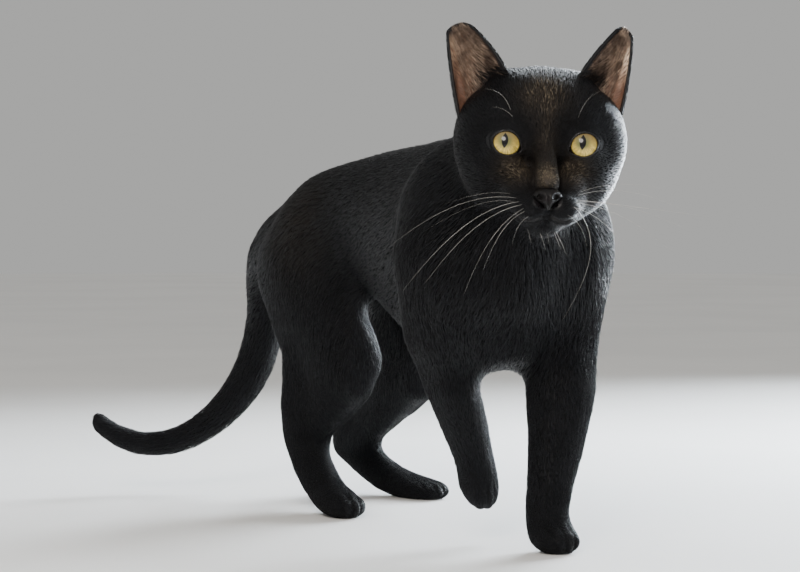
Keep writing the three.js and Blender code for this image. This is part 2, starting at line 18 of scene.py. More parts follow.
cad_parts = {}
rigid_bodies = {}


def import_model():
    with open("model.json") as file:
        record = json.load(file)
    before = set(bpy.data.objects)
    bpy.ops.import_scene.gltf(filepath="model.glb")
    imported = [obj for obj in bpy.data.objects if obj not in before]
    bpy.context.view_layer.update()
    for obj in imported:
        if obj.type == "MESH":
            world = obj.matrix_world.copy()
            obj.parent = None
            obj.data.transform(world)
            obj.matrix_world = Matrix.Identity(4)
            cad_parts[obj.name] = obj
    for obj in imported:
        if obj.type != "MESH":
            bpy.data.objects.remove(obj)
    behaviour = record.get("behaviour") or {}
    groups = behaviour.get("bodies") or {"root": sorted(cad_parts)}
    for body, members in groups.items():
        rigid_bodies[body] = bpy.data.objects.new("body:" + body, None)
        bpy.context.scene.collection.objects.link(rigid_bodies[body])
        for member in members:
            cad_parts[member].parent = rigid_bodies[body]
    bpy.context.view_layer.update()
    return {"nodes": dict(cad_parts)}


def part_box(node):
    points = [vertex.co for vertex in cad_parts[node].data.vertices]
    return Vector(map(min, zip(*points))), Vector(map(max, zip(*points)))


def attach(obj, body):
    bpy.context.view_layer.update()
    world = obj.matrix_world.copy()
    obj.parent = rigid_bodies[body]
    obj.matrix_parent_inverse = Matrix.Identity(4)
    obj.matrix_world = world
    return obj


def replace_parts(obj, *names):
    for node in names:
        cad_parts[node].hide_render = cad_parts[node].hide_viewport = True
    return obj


bl_info = {
    "name": "Walking black cat",
    "version": (1, 0, 0),
    "blender": (4, 5, 0),
    "location": "3D View > Sidebar > Cat",
    "description": "Builds the skin, coat, eyes, nose, ears and whiskers of a short-haired cat",
    "category": "Object",
}

for unused in list(bpy.data.objects):
    bpy.data.objects.remove(unused)

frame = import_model()
NODES = frame["nodes"]

MM = 0.001
UP = np.array([0.0, 0.0, 1.0])
EARS = ["ear_left", "ear_right"]
EYES = ["eye_left", "eye_right"]
TAIL = ["tail_base", "tail_middle", "tail_tip"]
TORSO = ["neck", "chest", "loin", "rump", "shoulder_left", "shoulder_right", "thigh_left", "thigh_right"]
FLESH = [name for name in NODES if name not in EARS]
COVERED = [name for name in FLESH if name not in EYES + ["nose"]]
PAWS = ["forepaw_left", "forepaw_right", "hind_foot_left", "hind_foot_right"]

SKIN_ABOVE_FLOOR, COAT_ABOVE_FLOOR = 0.1 * MM, 0.2 * MM

# Each kind of region: the length and width of its locks and the depth of its coat, in millimetres.
HAIR = {
    "head": (6.0, 0.36, 1.4),
    "nose": (1.4, 0.22, 0.35),
    "eye": (1.6, 0.22, 0.4),
    "neck": (10.0, 0.62, 2.2),
    "chest": (10.0, 0.62, 2.2),
    "loin": (9.5, 0.62, 2.0),
    "rump": (9.5, 0.62, 2.0),
    "shoulder": (9.0, 0.6, 1.9),
    "thigh": (9.0, 0.58, 1.9),
    "forearm": (6.0, 0.46, 1.4),
    "shank": (6.0, 0.46, 1.4),
    "forepaw": (3.3, 0.36, 0.9),
    "hind_foot": (3.5, 0.36, 0.9),
    "tail_base": (9.0, 0.6, 2.2),
    "tail_middle": (8.5, 0.55, 2.0),
    "tail_tip": (7.5, 0.5, 1.7),
}


def kind_of(node):
    """The region's kind, which is the node's name without its side."""
    return node.removesuffix("_left").removesuffix("_right")


# ---------------------------------------------------------------- settings


class CoatSettings(bpy.types.PropertyGroup):
    length: FloatProperty(
        name="Lock length", description="Length of every lock against a short coat's", default=1.0,
        min=0.5, max=2.0,
    )
    coverage: FloatProperty(
        name="Coverage", description="How many locks lie over each point of the skin", default=2.6,
        min=0.5, max=4.0,
    )
    black: FloatVectorProperty(
        name="Black", description="The coat's main colour", subtype="COLOR", size=3,
        default=(0.0044, 0.0046, 0.0058),
    )
    # The brown is partly the coat's own colour and partly painted sheen where light strikes thin hair.
    brown: FloatVectorProperty(
        name="Brown", description="The warm cast where light strikes thin hair", subtype="COLOR", size=3,
        default=(0.070, 0.052, 0.036),
    )
    seed: IntProperty(name="Seed", description="Starts the scatter of the locks", default=7, min=0)


class SkinSettings(bpy.types.PropertyGroup):
    mesh_size: FloatProperty(
        name="Mesh size", description="Size of the skin's faces before they are divided", default=0.0050,
        min=0.002, max=0.008, unit="LENGTH",
    )
    swell: FloatProperty(
        name="Swell", description="How far each solid grows to close the cuts between them", default=0.0005,
        min=0.0002, max=0.001, unit="LENGTH",
    )


class EyeSettings(bpy.types.PropertyGroup):
    gold: FloatVectorProperty(
        name="Gold", description="The iris's main colour", subtype="COLOR", size=3,
        default=(0.42, 0.31, 0.085),
    )
    olive: FloatVectorProperty(
        name="Olive", description="The iris's colour round the pupil", subtype="COLOR", size=3,
        default=(0.17, 0.17, 0.065),
    )
    pupil_width: FloatProperty(
        name="Pupil width", description="Width of the slit", default=0.0033,
        min=0.0005, max=0.010, unit="LENGTH",
    )
    pupil_height: FloatProperty(
        name="Pupil height", description="Height of the slit", default=0.0077,
        min=0.002, max=0.012, unit="LENGTH",
    )


class EarSettings(bpy.types.PropertyGroup):
    thickness: FloatProperty(
        name="Thickness", description="Thickness of the ear's shell at its root", default=0.0022, min=0.001,
        max=0.004, unit="LENGTH",
    )
    lining: FloatVectorProperty(
        name="Lining", description="Colour of the thin-haired inside", subtype="COLOR", size=3,
        default=(0.26, 0.13, 0.085),
    )


class WhiskerSettings(bpy.types.PropertyGroup):
    thickness: FloatProperty(
        name="Thickness", description="Thickness of a whisker at its root", default=0.00018,
        min=0.0001, max=0.001, unit="LENGTH",
    )


class StageSettings(bpy.types.PropertyGroup):
    floor: FloatVectorProperty(
        name="Floor", description="The floor's colour", subtype="COLOR", size=3, default=(0.80, 0.79, 0.77)
    )
    window: FloatProperty(
        name="Window light", description="Power of the large soft light behind the cat", default=520.0,
        min=0.0, unit="POWER",
    )


# ---------------------------------------------------------------- meshes as arrays


def places_of(mesh):
    flat = np.empty(3 * len(mesh.vertices))
    mesh.vertices.foreach_get("co", flat)
    return flat.reshape(-1, 3)


def put_places(mesh, places):
    mesh.vertices.foreach_set("co", places.astype(np.float32).ravel())
    mesh.update()


def normals_of(mesh):
    flat = np.empty(3 * len(mesh.vertices))
    mesh.vertex_normals.foreach_get("vector", flat)
    return flat.reshape(-1, 3)


def edges_of(mesh):
    flat = np.empty(2 * len(mesh.edges), np.int32)
    mesh.edges.foreach_get("vertices", flat)
    return flat.reshape(-1, 2)


def unit(vectors):
    return vectors / np.maximum(np.linalg.norm(vectors, axis=-1, keepdims=True), 1e-12)


def along_surface(vectors, normals):
    """The part of each vector that lies in the surface, made one unit long."""
    return unit(vectors - normals * np.sum(vectors * normals, axis=1, keepdims=True))


def smoothstep(low, high, values):
    t = np.clip((values - low) / (high - low), 0, 1)
    return t * t * (3 - 2 * t)


def bell(values):
    """1 at 0, falling to almost nothing at 2 and -2."""
    return np.exp(-np.square(values))


def way_along(places, start, step):
    """How far along a straight line the point nearest to each place is, from 0 to 1."""
    return np.clip((places - start) @ step / (step @ step), 0, 1)


def neighbour_mean(values, edges):
    """The mean over each vertex's neighbours."""
    count, (one, other) = len(values), edges.T
    degree = np.maximum(np.bincount(edges.ravel(), minlength=count), 1)
    columns = [
        np.bincount(one, column[other], count) + np.bincount(other, column[one], count)
        for column in values.reshape(count, -1).T
    ]
    return (np.array(columns).T / degree[:, None]).reshape(values.shape)


def relaxed(places, edges, share, passes):
    """Smooths where share is 1, without shrinking: each pass moves in and then a little further out."""
    for _ in range(passes):
        for step in (0.5, -0.52):
            places = places + (neighbour_mean(places, edges) - places) * (step * share)[:, None]
    return places


def spread_evenly(values, edges, passes):
    for _ in range(passes):
        values = (values + neighbour_mean(values, edges)) / 2
    return values


def write_numbers(mesh, name, values):
    """Stores one number or vector for each vertex."""
    vector = values.ndim == 2
    attribute = mesh.attributes.new(name, "FLOAT_VECTOR" if vector else "FLOAT", "POINT")
    attribute.data.foreach_set("vector" if vector else "value", values.astype(np.float32).ravel())


@contextmanager
def editing(mesh):
    """The mesh as a bmesh, which is written back at the end."""
    bm = bmesh.new()
    bm.from_mesh(mesh)
    yield bm
    bm.to_mesh(mesh)
    bm.free()


def settle_order(items, old=()):
    """Sorts the edges or faces an operator made in no fixed order by their corners, after the old ones."""
    fresh = [item for item in items if item not in old]
    fresh.sort(key=lambda item: sorted(tuple(vertex.co) for vertex in item.verts))
    rank = {item: number for number, item in enumerate([item for item in items if item in old] + fresh)}
    items.sort(key=rank.get)


def move_vertices(bm, places):
    for vertex, place in zip(bm.verts, places):
        vertex.co = place


def with_modifiers_applied(obj):
    graph = bpy.context.evaluated_depsgraph_get()
    mesh = bpy.data.meshes.new_from_object(obj.evaluated_get(graph))
    before = obj.data
    obj.modifiers.clear()
    obj.data = mesh
    bpy.data.meshes.remove(before)
    return mesh


def new_object(name, mesh):
    obj = bpy.data.objects.new(name, mesh)
    bpy.context.scene.collection.objects.link(obj)
    return obj


def face_out(bm):
    """Turns the faces of a closed shell outwards."""
    bmesh.ops.recalc_face_normals(bm, faces=bm.faces[:])
    if bm.calc_volume(signed=True) < 0:
        bmesh.ops.reverse_faces(bm, faces=bm.faces[:])


def mesh_from(bm, name):
    mesh = bpy.data.meshes.new(name)
    bm.to_mesh(mesh)
    bm.free()
    return mesh


def finished(name, mesh, material):
    """Makes a piece of the cat from a mesh, with its finish."""
    mesh.name = name
    mesh.shade_smooth()
    mesh.materials.clear()
    mesh.materials.append(material)
    obj = new_object(name, mesh)
    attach(obj, "root")
    return obj


def tree_of(mesh):
    mesh.calc_loop_triangles()
    triangles = np.empty(3 * len(mesh.loop_triangles), np.int32)
    mesh.loop_triangles.foreach_get("vertices", triangles)
    triangles = triangles.reshape(-1, 3)
    return BVHTree.FromPolygons(places_of(mesh).tolist(), triangles.tolist()), triangles


# ---------------------------------------------------------------- the head's own frame


def centre_of(node):
    low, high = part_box(node)
    return np.array((low + high) / 2)


HEAD_X = unit(centre_of("eye_left") - centre_of("eye_right"))
HEAD_Y = unit(np.cross(UP, HEAD_X))
HEAD_AXES = np.array([HEAD_X, HEAD_Y, np.cross(HEAD_X, HEAD_Y)])
HEAD_ORIGIN = (centre_of("eye_left") + centre_of("eye_right")) / 2 + HEAD_Y * MM
EYE_SIZE = 10.6
EYE_AT = np.array([19.5, -1.0, 0.0])
EYE_FRONT = EYE_AT + [0, -9, 0]
HEAD_NODES = ["head", "nose"] + EYES
NOSE_AT = np.array([0.0, -29.0, -27.5])


def to_head(places):
    """From the model's frame to millimetres in the head's, where -Y is where the face looks."""
    return (places - HEAD_ORIGIN) @ HEAD_AXES.T / MM


def from_head(places):
    return HEAD_ORIGIN + np.asarray(places) @ HEAD_AXES * MM


def ellipsoid(offset, radii):
    scaled = np.linalg.norm(offset / radii, axis=1)
    slope = np.linalg.norm(offset / np.square(radii), axis=1)
    return scaled * (scaled - 1) / np.maximum(slope, 1e-6)


def lobe(places, centre, radii):
    return ellipsoid(places - np.array(centre), np.array(radii, float))


def mirrored(q):
    """Places in the head's frame, with the right side's laid on the left's."""
    return np.column_stack([np.abs(q[:, 0]), q[:, 1:]])


def joined(first, second, softness):
    overlap = np.maximum(softness - np.abs(first - second), 0) / softness
    return np.minimum(first, second) - overlap**2 * softness / 4


# The ridge of the nose, from the brow down: each stop's place, half its width and half its depth.
BRIDGE = [
    ((0, 0, 11), 9.0, 11.0),
    ((0, -6, 2), 6.2, 10.0),
    ((0, -12, -6), 5.2, 9.2),
    ((0, -24, -19), 6.2, 6.5),
]


def bridge(places):
    """The bridge of the nose: a ridge from the brow to the leather."""
    nearest = np.full(len(places), np.inf)
    for (start, wide_start, deep_start), (end, wide_end, deep_end) in zip(BRIDGE, BRIDGE[1:]):
        start, step = np.array(start, float), np.array(end, float) - start
        t = way_along(places, start, step)[:, None]
        offset = places - start - t * step
        along = unit(step)
        local = np.column_stack([offset[:, 0], offset @ np.cross(along, [1, 0, 0]), offset @ along])
        wide, deep = wide_start + (wide_end - wide_start) * t, deep_start + (deep_end - deep_start) * t
        radii = np.hstack([wide, deep, np.minimum(wide, deep)])
        nearest = np.minimum(nearest, ellipsoid(local, radii))
    return nearest


def distance_to_line(points, line):
    """The distance in a plane from each point to a bent line."""
    nearest = np.full(len(points), np.inf)
    for start, end in zip(line, line[1:]):
        step = np.subtract(end, start)
        t = way_along(points, start, step)[:, None]
        nearest = np.minimum(nearest, np.linalg.norm(points - start - t * step, axis=1))
    return nearest


MOUTH_LINE = [(0.0, -34.0), (2.2, -36.0), (5.5, -37.8), (9.5, -38.0), (13.5, -36.4), (17.0, -33.5)]
# The lobes on each side of the skull: where each is, its radii, and how softly it joins those before it.
# They are the temple, the jaw, the cheek under the eye, the brow, the crown before the ear, and the eye.
HEAD_LOBES = [
    ((27.3, 20, 2), (17.5, 24, 25), 8),
    ((22, 15, -17), (15.5, 20, 17), 8),
    ((20, 3, -12), (12, 11, 9), 7),
    ((17, 1.5, 12.5), (12, 9, 5), 6),
    ((17, 24, 29.5), (10, 14, 9), 6),
    (EYE_AT, (EYE_SIZE + 0.9,) * 3, 6),
]


def head_form(q):
    """About the distance to the head's outer form in millimetres, below 0 inside it."""
    form = lobe(q, (0, 27, 9), (38, 38, 32.5))
    twin = mirrored(q)
    for centre, radii, softness in HEAD_LOBES:
        form = joined(form, lobe(twin, centre, radii), softness)
    form = joined(form, bridge(q), 9)
    form = joined(form, lobe(q, (0, 14, -28), (24, 24, 17)), 8)
    pads = joined(lobe(twin, (7.5, -18, -33), (10, 12, 8.5)), lobe(twin, (12, -4, -24), (10, 13, 12)), 7)
    form = joined(form, pads, 6)
    chin = lobe(q, (0, -10, -39.5), (9.5, 12, 8))
    form = joined(form, chin, 2.5 + 5.5 * smoothstep(-18, -6, q[:, 1]))
    mouth = bell(distance_to_line(twin[:, ::2], MOUTH_LINE) / 0.75)
    cleft = bell(q[:, 0] / 0.6) * smoothstep(-29, -31, q[:, 2]) * smoothstep(-35.5, -34, q[:, 2])
    return form + smoothstep(-4, -12, q[:, 1]) * (1.0 * mouth + 0.9 * cleft)


def settled_on_head(q, depth):
    """Moves points along the form's slope to lie at the given depth under it, by 7 mm at most."""
    start, limit, probe = q.copy(), 7.0, 0.05
    for _ in range(6):
        value = head_form(q) + depth
        slope = np.column_stack(
            [(head_form(q + probe * axis) - head_form(q - probe * axis)) / (2 * probe) for axis in np.eye(3)]
        )
        square = np.maximum(np.sum(slope**2, axis=1), 0.3)
        q = q - slope * (value / square)[:, None]
        moved = q - start
        length = np.linalg.norm(moved, axis=1, keepdims=True)
        q = start + moved * np.minimum(1, limit / np.maximum(length, 1e-9))
    return q


def face_depth(q):
    """The coat's depth on the head: thin round the eyes, the nose and the mouth."""
    to_nose = np.linalg.norm(q - np.array([0, -30, -27]), axis=1)
    to_eye = np.linalg.norm(mirrored(q) - EYE_FRONT, axis=1)
    near = np.minimum(smoothstep(9, 34, to_nose), smoothstep(7, 15, to_eye))
    return 0.5 + (HAIR["head"][2] - 0.5) * near


# ---------------------------------------------------------------- the eyelids


LID_LONG, LID_SHORT, LID_TILT = 6.8, 6.0, math.radians(17)  # half the opening each way, and its slant


def lid_ellipse(angle):
    """How far the opening's plain ellipse reaches. The angle turns from the outer corner up."""
    from_axis = angle - LID_TILT
    return LID_LONG * LID_SHORT / np.hypot(LID_SHORT * np.cos(from_axis), LID_LONG * np.sin(from_axis))


def lid_radius(angle):
    """How far the lids' edge is from the middle of the opening, with its inner and outer corners."""
    turn = lambda corner: np.angle(np.exp(1j * (angle - math.radians(corner))))
    return lid_ellipse(angle) + 1.5 * bell(turn(206) / 0.30) + 0.5 * bell(turn(17) / 0.35)


def lid_share(q):
    """Where each point lies against the nearer eye's opening: 1 on its edge and less within."""
    u, w = np.abs(q[:, 0]) - EYE_AT[0], q[:, 2] - EYE_AT[2]
    share = np.hypot(u, w) / lid_radius(np.arctan2(w, u))
    return np.where(q[:, 1] < 2, share, 99.0)


# The rings of a socket's lining: how far round the eyeball each one is, as a share of the way to its back,
# and how far it stands off the eyeball.
SOCKET_RINGS = [(-0.01, 0.45), (0.0, 0.12), (0.12, 0.2), (0.35, 0.2), (0.6, 0.2), (0.85, 0.2)]


def open_eyes(bm):
    """Cuts the openings between the lids, turns their edges in and lines the sockets behind the eyeballs."""
    inside = lid_share(to_head(np.array([vertex.co for vertex in bm.verts]))) < 1
    doomed = [face for face in bm.faces if all(inside[vertex.index] for vertex in face.verts)]
    bmesh.ops.delete(bm, geom=doomed, context="FACES")
    loose = [vertex for vertex in bm.verts if not vertex.link_faces]
    bmesh.ops.delete(bm, geom=loose, context="VERTS")
    old_edges, old_faces = set(bm.edges), set(bm.faces)
    rim_edges = [edge for edge in bm.edges if edge.is_boundary]
    rim = {vertex for edge in rim_edges for vertex in edge.verts}

    def turned(vertex):
        """Which side the vertex is on, and its place in that eye's own frame."""
        place = to_head(np.array(vertex.co)[None])[0]
        side = np.array([1.0 if place[0] > 0 else -1.0, 1, 1])
        return side, (place - EYE_AT * side) * side

    def replace(vertex, side, local):
        vertex.co = Vector(from_head((local * side + EYE_AT * side)[None])[0])

    for vertex in rim:
        side, local = turned(vertex)
        direction = math.atan2(local[2], local[0])
        edge = float(lid_radius(np.array([direction]))[0])
        local[0], local[2] = edge * math.cos(direction), edge * math.sin(direction)
        local[1] = -math.sqrt(max((EYE_SIZE + 0.75) ** 2 - edge**2, 1))
        replace(vertex, side, local)

    for round_share, radius in SOCKET_RINGS:
        made = bmesh.ops.extrude_edge_only(bm, edges=rim_edges)["geom"]
        rim_edges = [item for item in made if isinstance(item, bmesh.types.BMEdge)]
        for vertex in {vertex for edge in rim_edges for vertex in edge.verts}:
            side, local = turned(vertex)
            direction = unit(local)
            if round_share > 0:
                across = unit(np.array([direction[0], 0, direction[2]]))
                polar = math.acos(-direction[1])
                polar += (math.pi - polar) * round_share
                direction = across * math.sin(polar) + np.array([0, -math.cos(polar), 0])
            replace(vertex, side, direction * (EYE_SIZE + radius))
        rim_edges = [edge for edge in rim_edges if edge.is_boundary]
    filled = bmesh.ops.holes_fill(bm, edges=rim_edges, sides=0)["faces"]
    bmesh.ops.poke(bm, faces=filled)
    settle_order(bm.edges, old_edges)
    settle_order(bm.faces, old_faces)


# ---------------------------------------------------------------- the skin


class Flesh:
    """The flesh solids as one tree, which knows the region of any place."""

    def __init__(self):
        places, faces, self.owners = [], [], []
        for name in FLESH:
            mesh = NODES[name].data
            start = len(places)
            places += places_of(mesh).tolist()
            faces += [[start + index for index in face.vertices] for face in mesh.polygons]
            self.owners += [name] * len(mesh.polygons)
        self.tree = BVHTree.FromPolygons(places, faces)

    def regions(self, places):
        """The name of the solid that is nearest to each place."""
        return np.array([self.owners[self.tree.find_nearest(place)[2]] for place in places.tolist()])


def in_head(mesh):
    """The mesh's vertices in the head's frame."""
    return to_head(places_of(mesh))


def grown_solids(swell):
    """All the flesh solids in one mesh, each grown enough to meet its neighbours."""
    bm = bmesh.new()
    for name in FLESH:
        solid = bmesh.new()
        solid.from_mesh(NODES[name].data)
        bmesh.ops.remove_doubles(solid, verts=solid.verts, dist=1e-5)
        solid.normal_update()
        for vertex in solid.verts:
            vertex.co += vertex.normal * swell
        part = mesh_from(solid, "grown")
        bm.from_mesh(part)
        bpy.data.meshes.remove(part)
    return mesh_from(bm, "grown_solids")


def keep_largest_shell(mesh):
    with editing(mesh) as bm:
        unseen, shells = set(bm.verts), []
        while unseen:
            front, shell = [unseen.pop()], []
            while front:
                vertex = front.pop()
                shell.append(vertex)
                near = [edge.other_vert(vertex) for edge in vertex.link_edges]
                fresh = [other for other in near if other in unseen]
                unseen.difference_update(fresh)
                front += fresh
            shells.append(shell)
        shells.sort(key=len)
        bmesh.ops.delete(bm, geom=[vertex for shell in shells[:-1] for vertex in shell], context="VERTS")


def hair_sizes(regions, edges, passes):
    """The length, width and depth of the coat at each vertex, in millimetres, spread across the joins."""
    sizes = np.array([HAIR[kind_of(region)] for region in regions])
    return spread_evenly(sizes, edges, passes)


COAT_FILL = 0.75  # how much of the coat's depth the locks fill up to their visible surface
MOST_FIT = 4 * MM  # how far a vertex may move to it


def fitted_to_solids(mesh, flesh, depth):
    """Evens out how deep the skin lies, so that the coat's surface stands where the solids' does."""
    places, normals, edges = places_of(mesh), normals_of(mesh), edges_of(mesh)
    found = [flesh.tree.find_nearest(place) for place in places.tolist()]
    near, outwards = np.array([hit[0] for hit in found]), np.array([hit[1] for hit in found])
    gap = np.sum((places - near) * outwards, axis=1)
    alike = (np.sum(normals * outwards, axis=1) > 0.6).astype(float)
    error = spread_evenly(np.column_stack([(-COAT_FILL * depth * MM - gap) * alike, alike]), edges, 16)
    move = np.clip(error[:, 0] / np.maximum(error[:, 1], 0.05), -MOST_FIT, MOST_FIT)
    put_places(mesh, places + normals * move[:, None])


def head_share(q):
    """1 on the head, falling to 0 where it runs into the neck."""
    return smoothstep(38, 24, q @ np.array([0, 0.8, -0.6]))


def divide(mesh, chosen):
    """Halves the edges between the chosen vertices."""
    with editing(mesh) as bm:
        edges = [edge for edge in bm.edges if chosen[edge.verts[0].index] and chosen[edge.verts[1].index]]
        bmesh.ops.subdivide_edges(bm, edges=edges, cuts=1, use_grid_fill=True)


# Each paw: which way its toes point, and which way its back faces.
TOES = {
    "forepaw_left": ((0.0, -1.0, -0.15), (0.0, -0.3, 1.0)),
    "forepaw_right": ((0.05, -0.25, -1.0), (0.0, -1.0, -0.1)),
    "hind_foot_left": ((0.0, -1.0, -0.15), (0.0, -0.2, 1.0)),
    "hind_foot_right": ((0.0, -1.0, -0.15), (0.0, -0.2, 1.0)),
}


def toe_grooves(places, normals, regions):
    """How far each vertex sinks, in metres, to part the four toes of each paw."""
    sink = np.zeros(len(places))
    for paw, (ahead, back) in TOES.items():
        ahead = unit(np.array(ahead))
        across = unit(np.cross(ahead, back))
        mine = regions == paw
        along, aside = places[mine] @ ahead, places[mine] @ across
        front = smoothstep(along.max() - 16 * MM, along.max() - 7 * MM, along)
        middle = aside[along > along.max() - 12 * MM]
        middle, half = (middle.max() + middle.min()) / 2, (middle.max() - middle.min()) / 2
        grooves = sum(bell((aside - middle - half * at) / (0.95 * MM)) for at in (-0.5, 0.0, 0.5))
        seen = smoothstep(-0.5, 0.1, normals[mine] @ unit(np.array(back) + 0.6 * ahead))
        sink[mine] = 1.3 * MM * grooves * front * seen
    return sink


def make_skin(settings):
    """One closed skin round all the flesh, finer on the face and paws, with open lids and lined sockets."""
    flesh = Flesh()
    obj = new_object("skin_blank", grown_solids(settings.swell))
    remesh = obj.modifiers.new("one surface", "REMESH")
    remesh.mode, remesh.voxel_size = "VOXEL", settings.mesh_size
    mesh = with_modifiers_applied(obj)
    keep_largest_shell(mesh)

    places, edges = places_of(mesh), edges_of(mesh)
    places = relaxed(places, edges, np.ones(len(places)), 4)
    regions = flesh.regions(places)
    torso = spread_evenly(np.isin(regions, TORSO).astype(float), edges, 3)
    put_places(mesh, relaxed(places, edges, torso, 34))
    sizes = hair_sizes(regions, edges, 8)
    put_places(mesh, places_of(mesh) - normals_of(mesh) * (settings.swell + sizes[:, 2:] * MM))

    smooth = obj.modifiers.new("smooth", "SUBSURF")
    smooth.levels = smooth.render_levels = 1
    mesh = with_modifiers_applied(obj)
    regions = flesh.regions(places_of(mesh))
    fitted_to_solids(mesh, flesh, hair_sizes(regions, edges_of(mesh), 8)[:, 2])
    on_head = (head_share(in_head(mesh)) > 0.02) & np.isin(regions, HEAD_NODES + ["neck"])
    divide(mesh, on_head | np.isin(regions, PAWS))
    q = in_head(mesh)
    divide(mesh, (q[:, 1] < -1) & (np.abs(q[:, 0]) < 33) & (q[:, 2] > -50) & (q[:, 2] < 18))
    q = in_head(mesh)
    divide(mesh, (q[:, 1] < -1) & (np.hypot(np.abs(q[:, 0]) - EYE_AT[0], q[:, 2]) < 10.5))

    places, edges = places_of(mesh), edges_of(mesh)
    regions = flesh.regions(places)
    q = to_head(places)
    share = head_share(q) * np.isin(regions, HEAD_NODES + ["neck"])
    chosen = share > 0
    for _ in range(3):
        q[chosen] = settled_on_head(q[chosen], face_depth(q[chosen]))
        around = neighbour_mean(q, edges)
        q[chosen] = q[chosen] + 0.5 * (around - q)[chosen]
    q[chosen] = settled_on_head(q[chosen], face_depth(q[chosen]))
    share = spread_evenly(share, edges, 4)[:, None]
    places = places * (1 - share) + from_head(q) * share
    paws = np.isin(regions, PAWS).astype(float)
    put_places(mesh, relaxed(places, edges, paws, 3))
    places, normals = places_of(mesh), normals_of(mesh)
    put_places(mesh, places - normals * toe_grooves(places, normals, regions)[:, None])

    q = in_head(mesh)
    lids, near = lid_share(q), np.abs(q[:, 1] + 8) < 12
    lip = 0.22 * bell((lids - 1.03) / 0.07) - 0.18 * bell((lids - 1.30) / 0.10)
    put_places(mesh, places_of(mesh) + normals_of(mesh) * (lip * near * MM)[:, None])
    with editing(mesh) as bm:
        open_eyes(bm)
        low = min(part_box(paw)[0][2] for paw in PAWS)
        for vertex in bm.verts:
            vertex.co.z = max(vertex.co.z, low + SKIN_ABOVE_FLOOR)
        bm.normal_update()
    bpy.data.objects.remove(obj)
    return mesh, flesh


# ---------------------------------------------------------------- the lie and the markings of the coat, and its painted sheen


def middle_of(node):
    return places_of(NODES[node].data).mean(axis=0)


def lie_lines():
    """The lines that the hair follows, by the regions that each one rules."""
    at = {name: middle_of(name) for name in NODES}
    low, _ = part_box("tail_tip")
    tail_end = np.array([low.x, at["tail_tip"][1], at["tail_tip"][2]])
    trunk = [("neck", "chest"), ("chest", "loin"), ("loin", "rump"), ("rump", "tail_base")]
    lines = [(TORSO + ["head", "tail_base"], at[start], at[end]) for start, end in trunk]
    lines.append((["head", "neck"], at["head"], at["chest"]))
    lines += [
        (["rump", "tail_base"], at["rump"], at["tail_base"]),
        (["tail_base", "tail_middle"], at["tail_base"], at["tail_middle"]),
        (["tail_middle", "tail_tip"], at["tail_middle"], at["tail_tip"]),
        (["tail_tip"], at["tail_tip"], tail_end),
    ]
    for side in ("left", "right"):
        shoulder, forearm, forepaw = (f"{part}_{side}" for part in ("shoulder", "forearm", "forepaw"))
        thigh, shank, foot = (f"{part}_{side}" for part in ("thigh", "shank", "hind_foot"))
        for upper, lower, paw in ((shoulder, forearm, forepaw), (thigh, shank, foot)):
            toes = at[paw] + unit(np.array(TOES[paw][0])) * 0.03
            lines += [
                ([upper, lower], at[upper], at[lower]),
                ([lower, paw], at[lower], at[paw]),
                ([paw], at[paw], toes),
            ]
    return lines


def hair_lie(places, normals, regions, edges):
    """Which way the hair lies at each vertex of the skin."""
    total = np.zeros_like(places)
    for rules, start, end in lie_lines():
        step = end - start
        t = way_along(places, start, step)[:, None]
        distance = np.linalg.norm(places - start - t * step, axis=1)
        weight = np.isin(regions, rules) / np.square(np.square(distance / MM) + 16)
        total += weight[:, None] * unit(step)
    lie = unit(total) + np.isin(regions, TORSO)[:, None] * [0, 0.1, -0.42]
    q = to_head(places)
    outwards = (q - np.array([0, -34, -20])) @ HEAD_AXES
    share = head_share(q)[:, None] * np.isin(regions, HEAD_NODES + ["neck"])[:, None]
    lie = lie * (1 - share) + unit(outwards) * share
    for _ in range(10):
        lie = along_surface(lie + neighbour_mean(lie, edges), normals)
    return lie


def brown_and_sheen(places):
    """How brown the coat is, from 0 to 1: on the brow, under the eyes and on the bridge, partly the coat's
    own brown and partly painted sheen, and on the haunches, where it is painted sheen.
    """
    spot = lambda points, centre, size: bell(np.linalg.norm((points - centre) / size, axis=1))
    q = to_head(places)
    # The brow, the cheeks under the eyes, the bridge's band and its tip: partly the coat's own brown and
    # partly painted sheen.
    brow, bridge_tip = spot(q, [0, -2, 23], [11, 16, 11]), spot(q, [0, -28, -17], [5.5, 9, 6])
    head = 0.85 * brow + 0.85 * spot(mirrored(q), [14, -13, -13], [9, 10, 8]) + 1.0 * bridge_tip
    bridge_band = 0.45 * spot(q, [0, -14, 0], [4, 12, 14])
    # The haunches' grey-brown patch is painted sheen.
    haunch_painted_sheen = [
        0.32 * spot(places - middle_of(name), [0, 0, 0.048], 0.027) for name in ("thigh_left", "thigh_right")
    ]
    return np.clip(head + bridge_band + haunch_painted_sheen[0] + haunch_painted_sheen[1], 0, 1)


def bareness(places):
    """1 on the lids' edges and in the mouth's line, where no hair grows."""
    q = to_head(places)
    rims = smoothstep(1.12, 1.06, lid_share(q)) * (q[:, 1] < -3)
    mouth = smoothstep(0.9, 0.5, distance_to_line(mirrored(q)[:, ::2], MOUTH_LINE)) * (q[:, 1] < -6)
    cleft = smoothstep(0.8, 0.4, np.abs(q[:, 0])) * (q[:, 2] < -29) * (q[:, 2] > -35) * (q[:, 1] < -12)
    leather = np.linalg.norm((q - NOSE_AT) / [7.2, 6, 5.4], axis=1)
    return np.clip(rims + mouth + cleft + smoothstep(1.1, 0.95, leather), 0, 1)


# ---------------------------------------------------------------- locks of hair


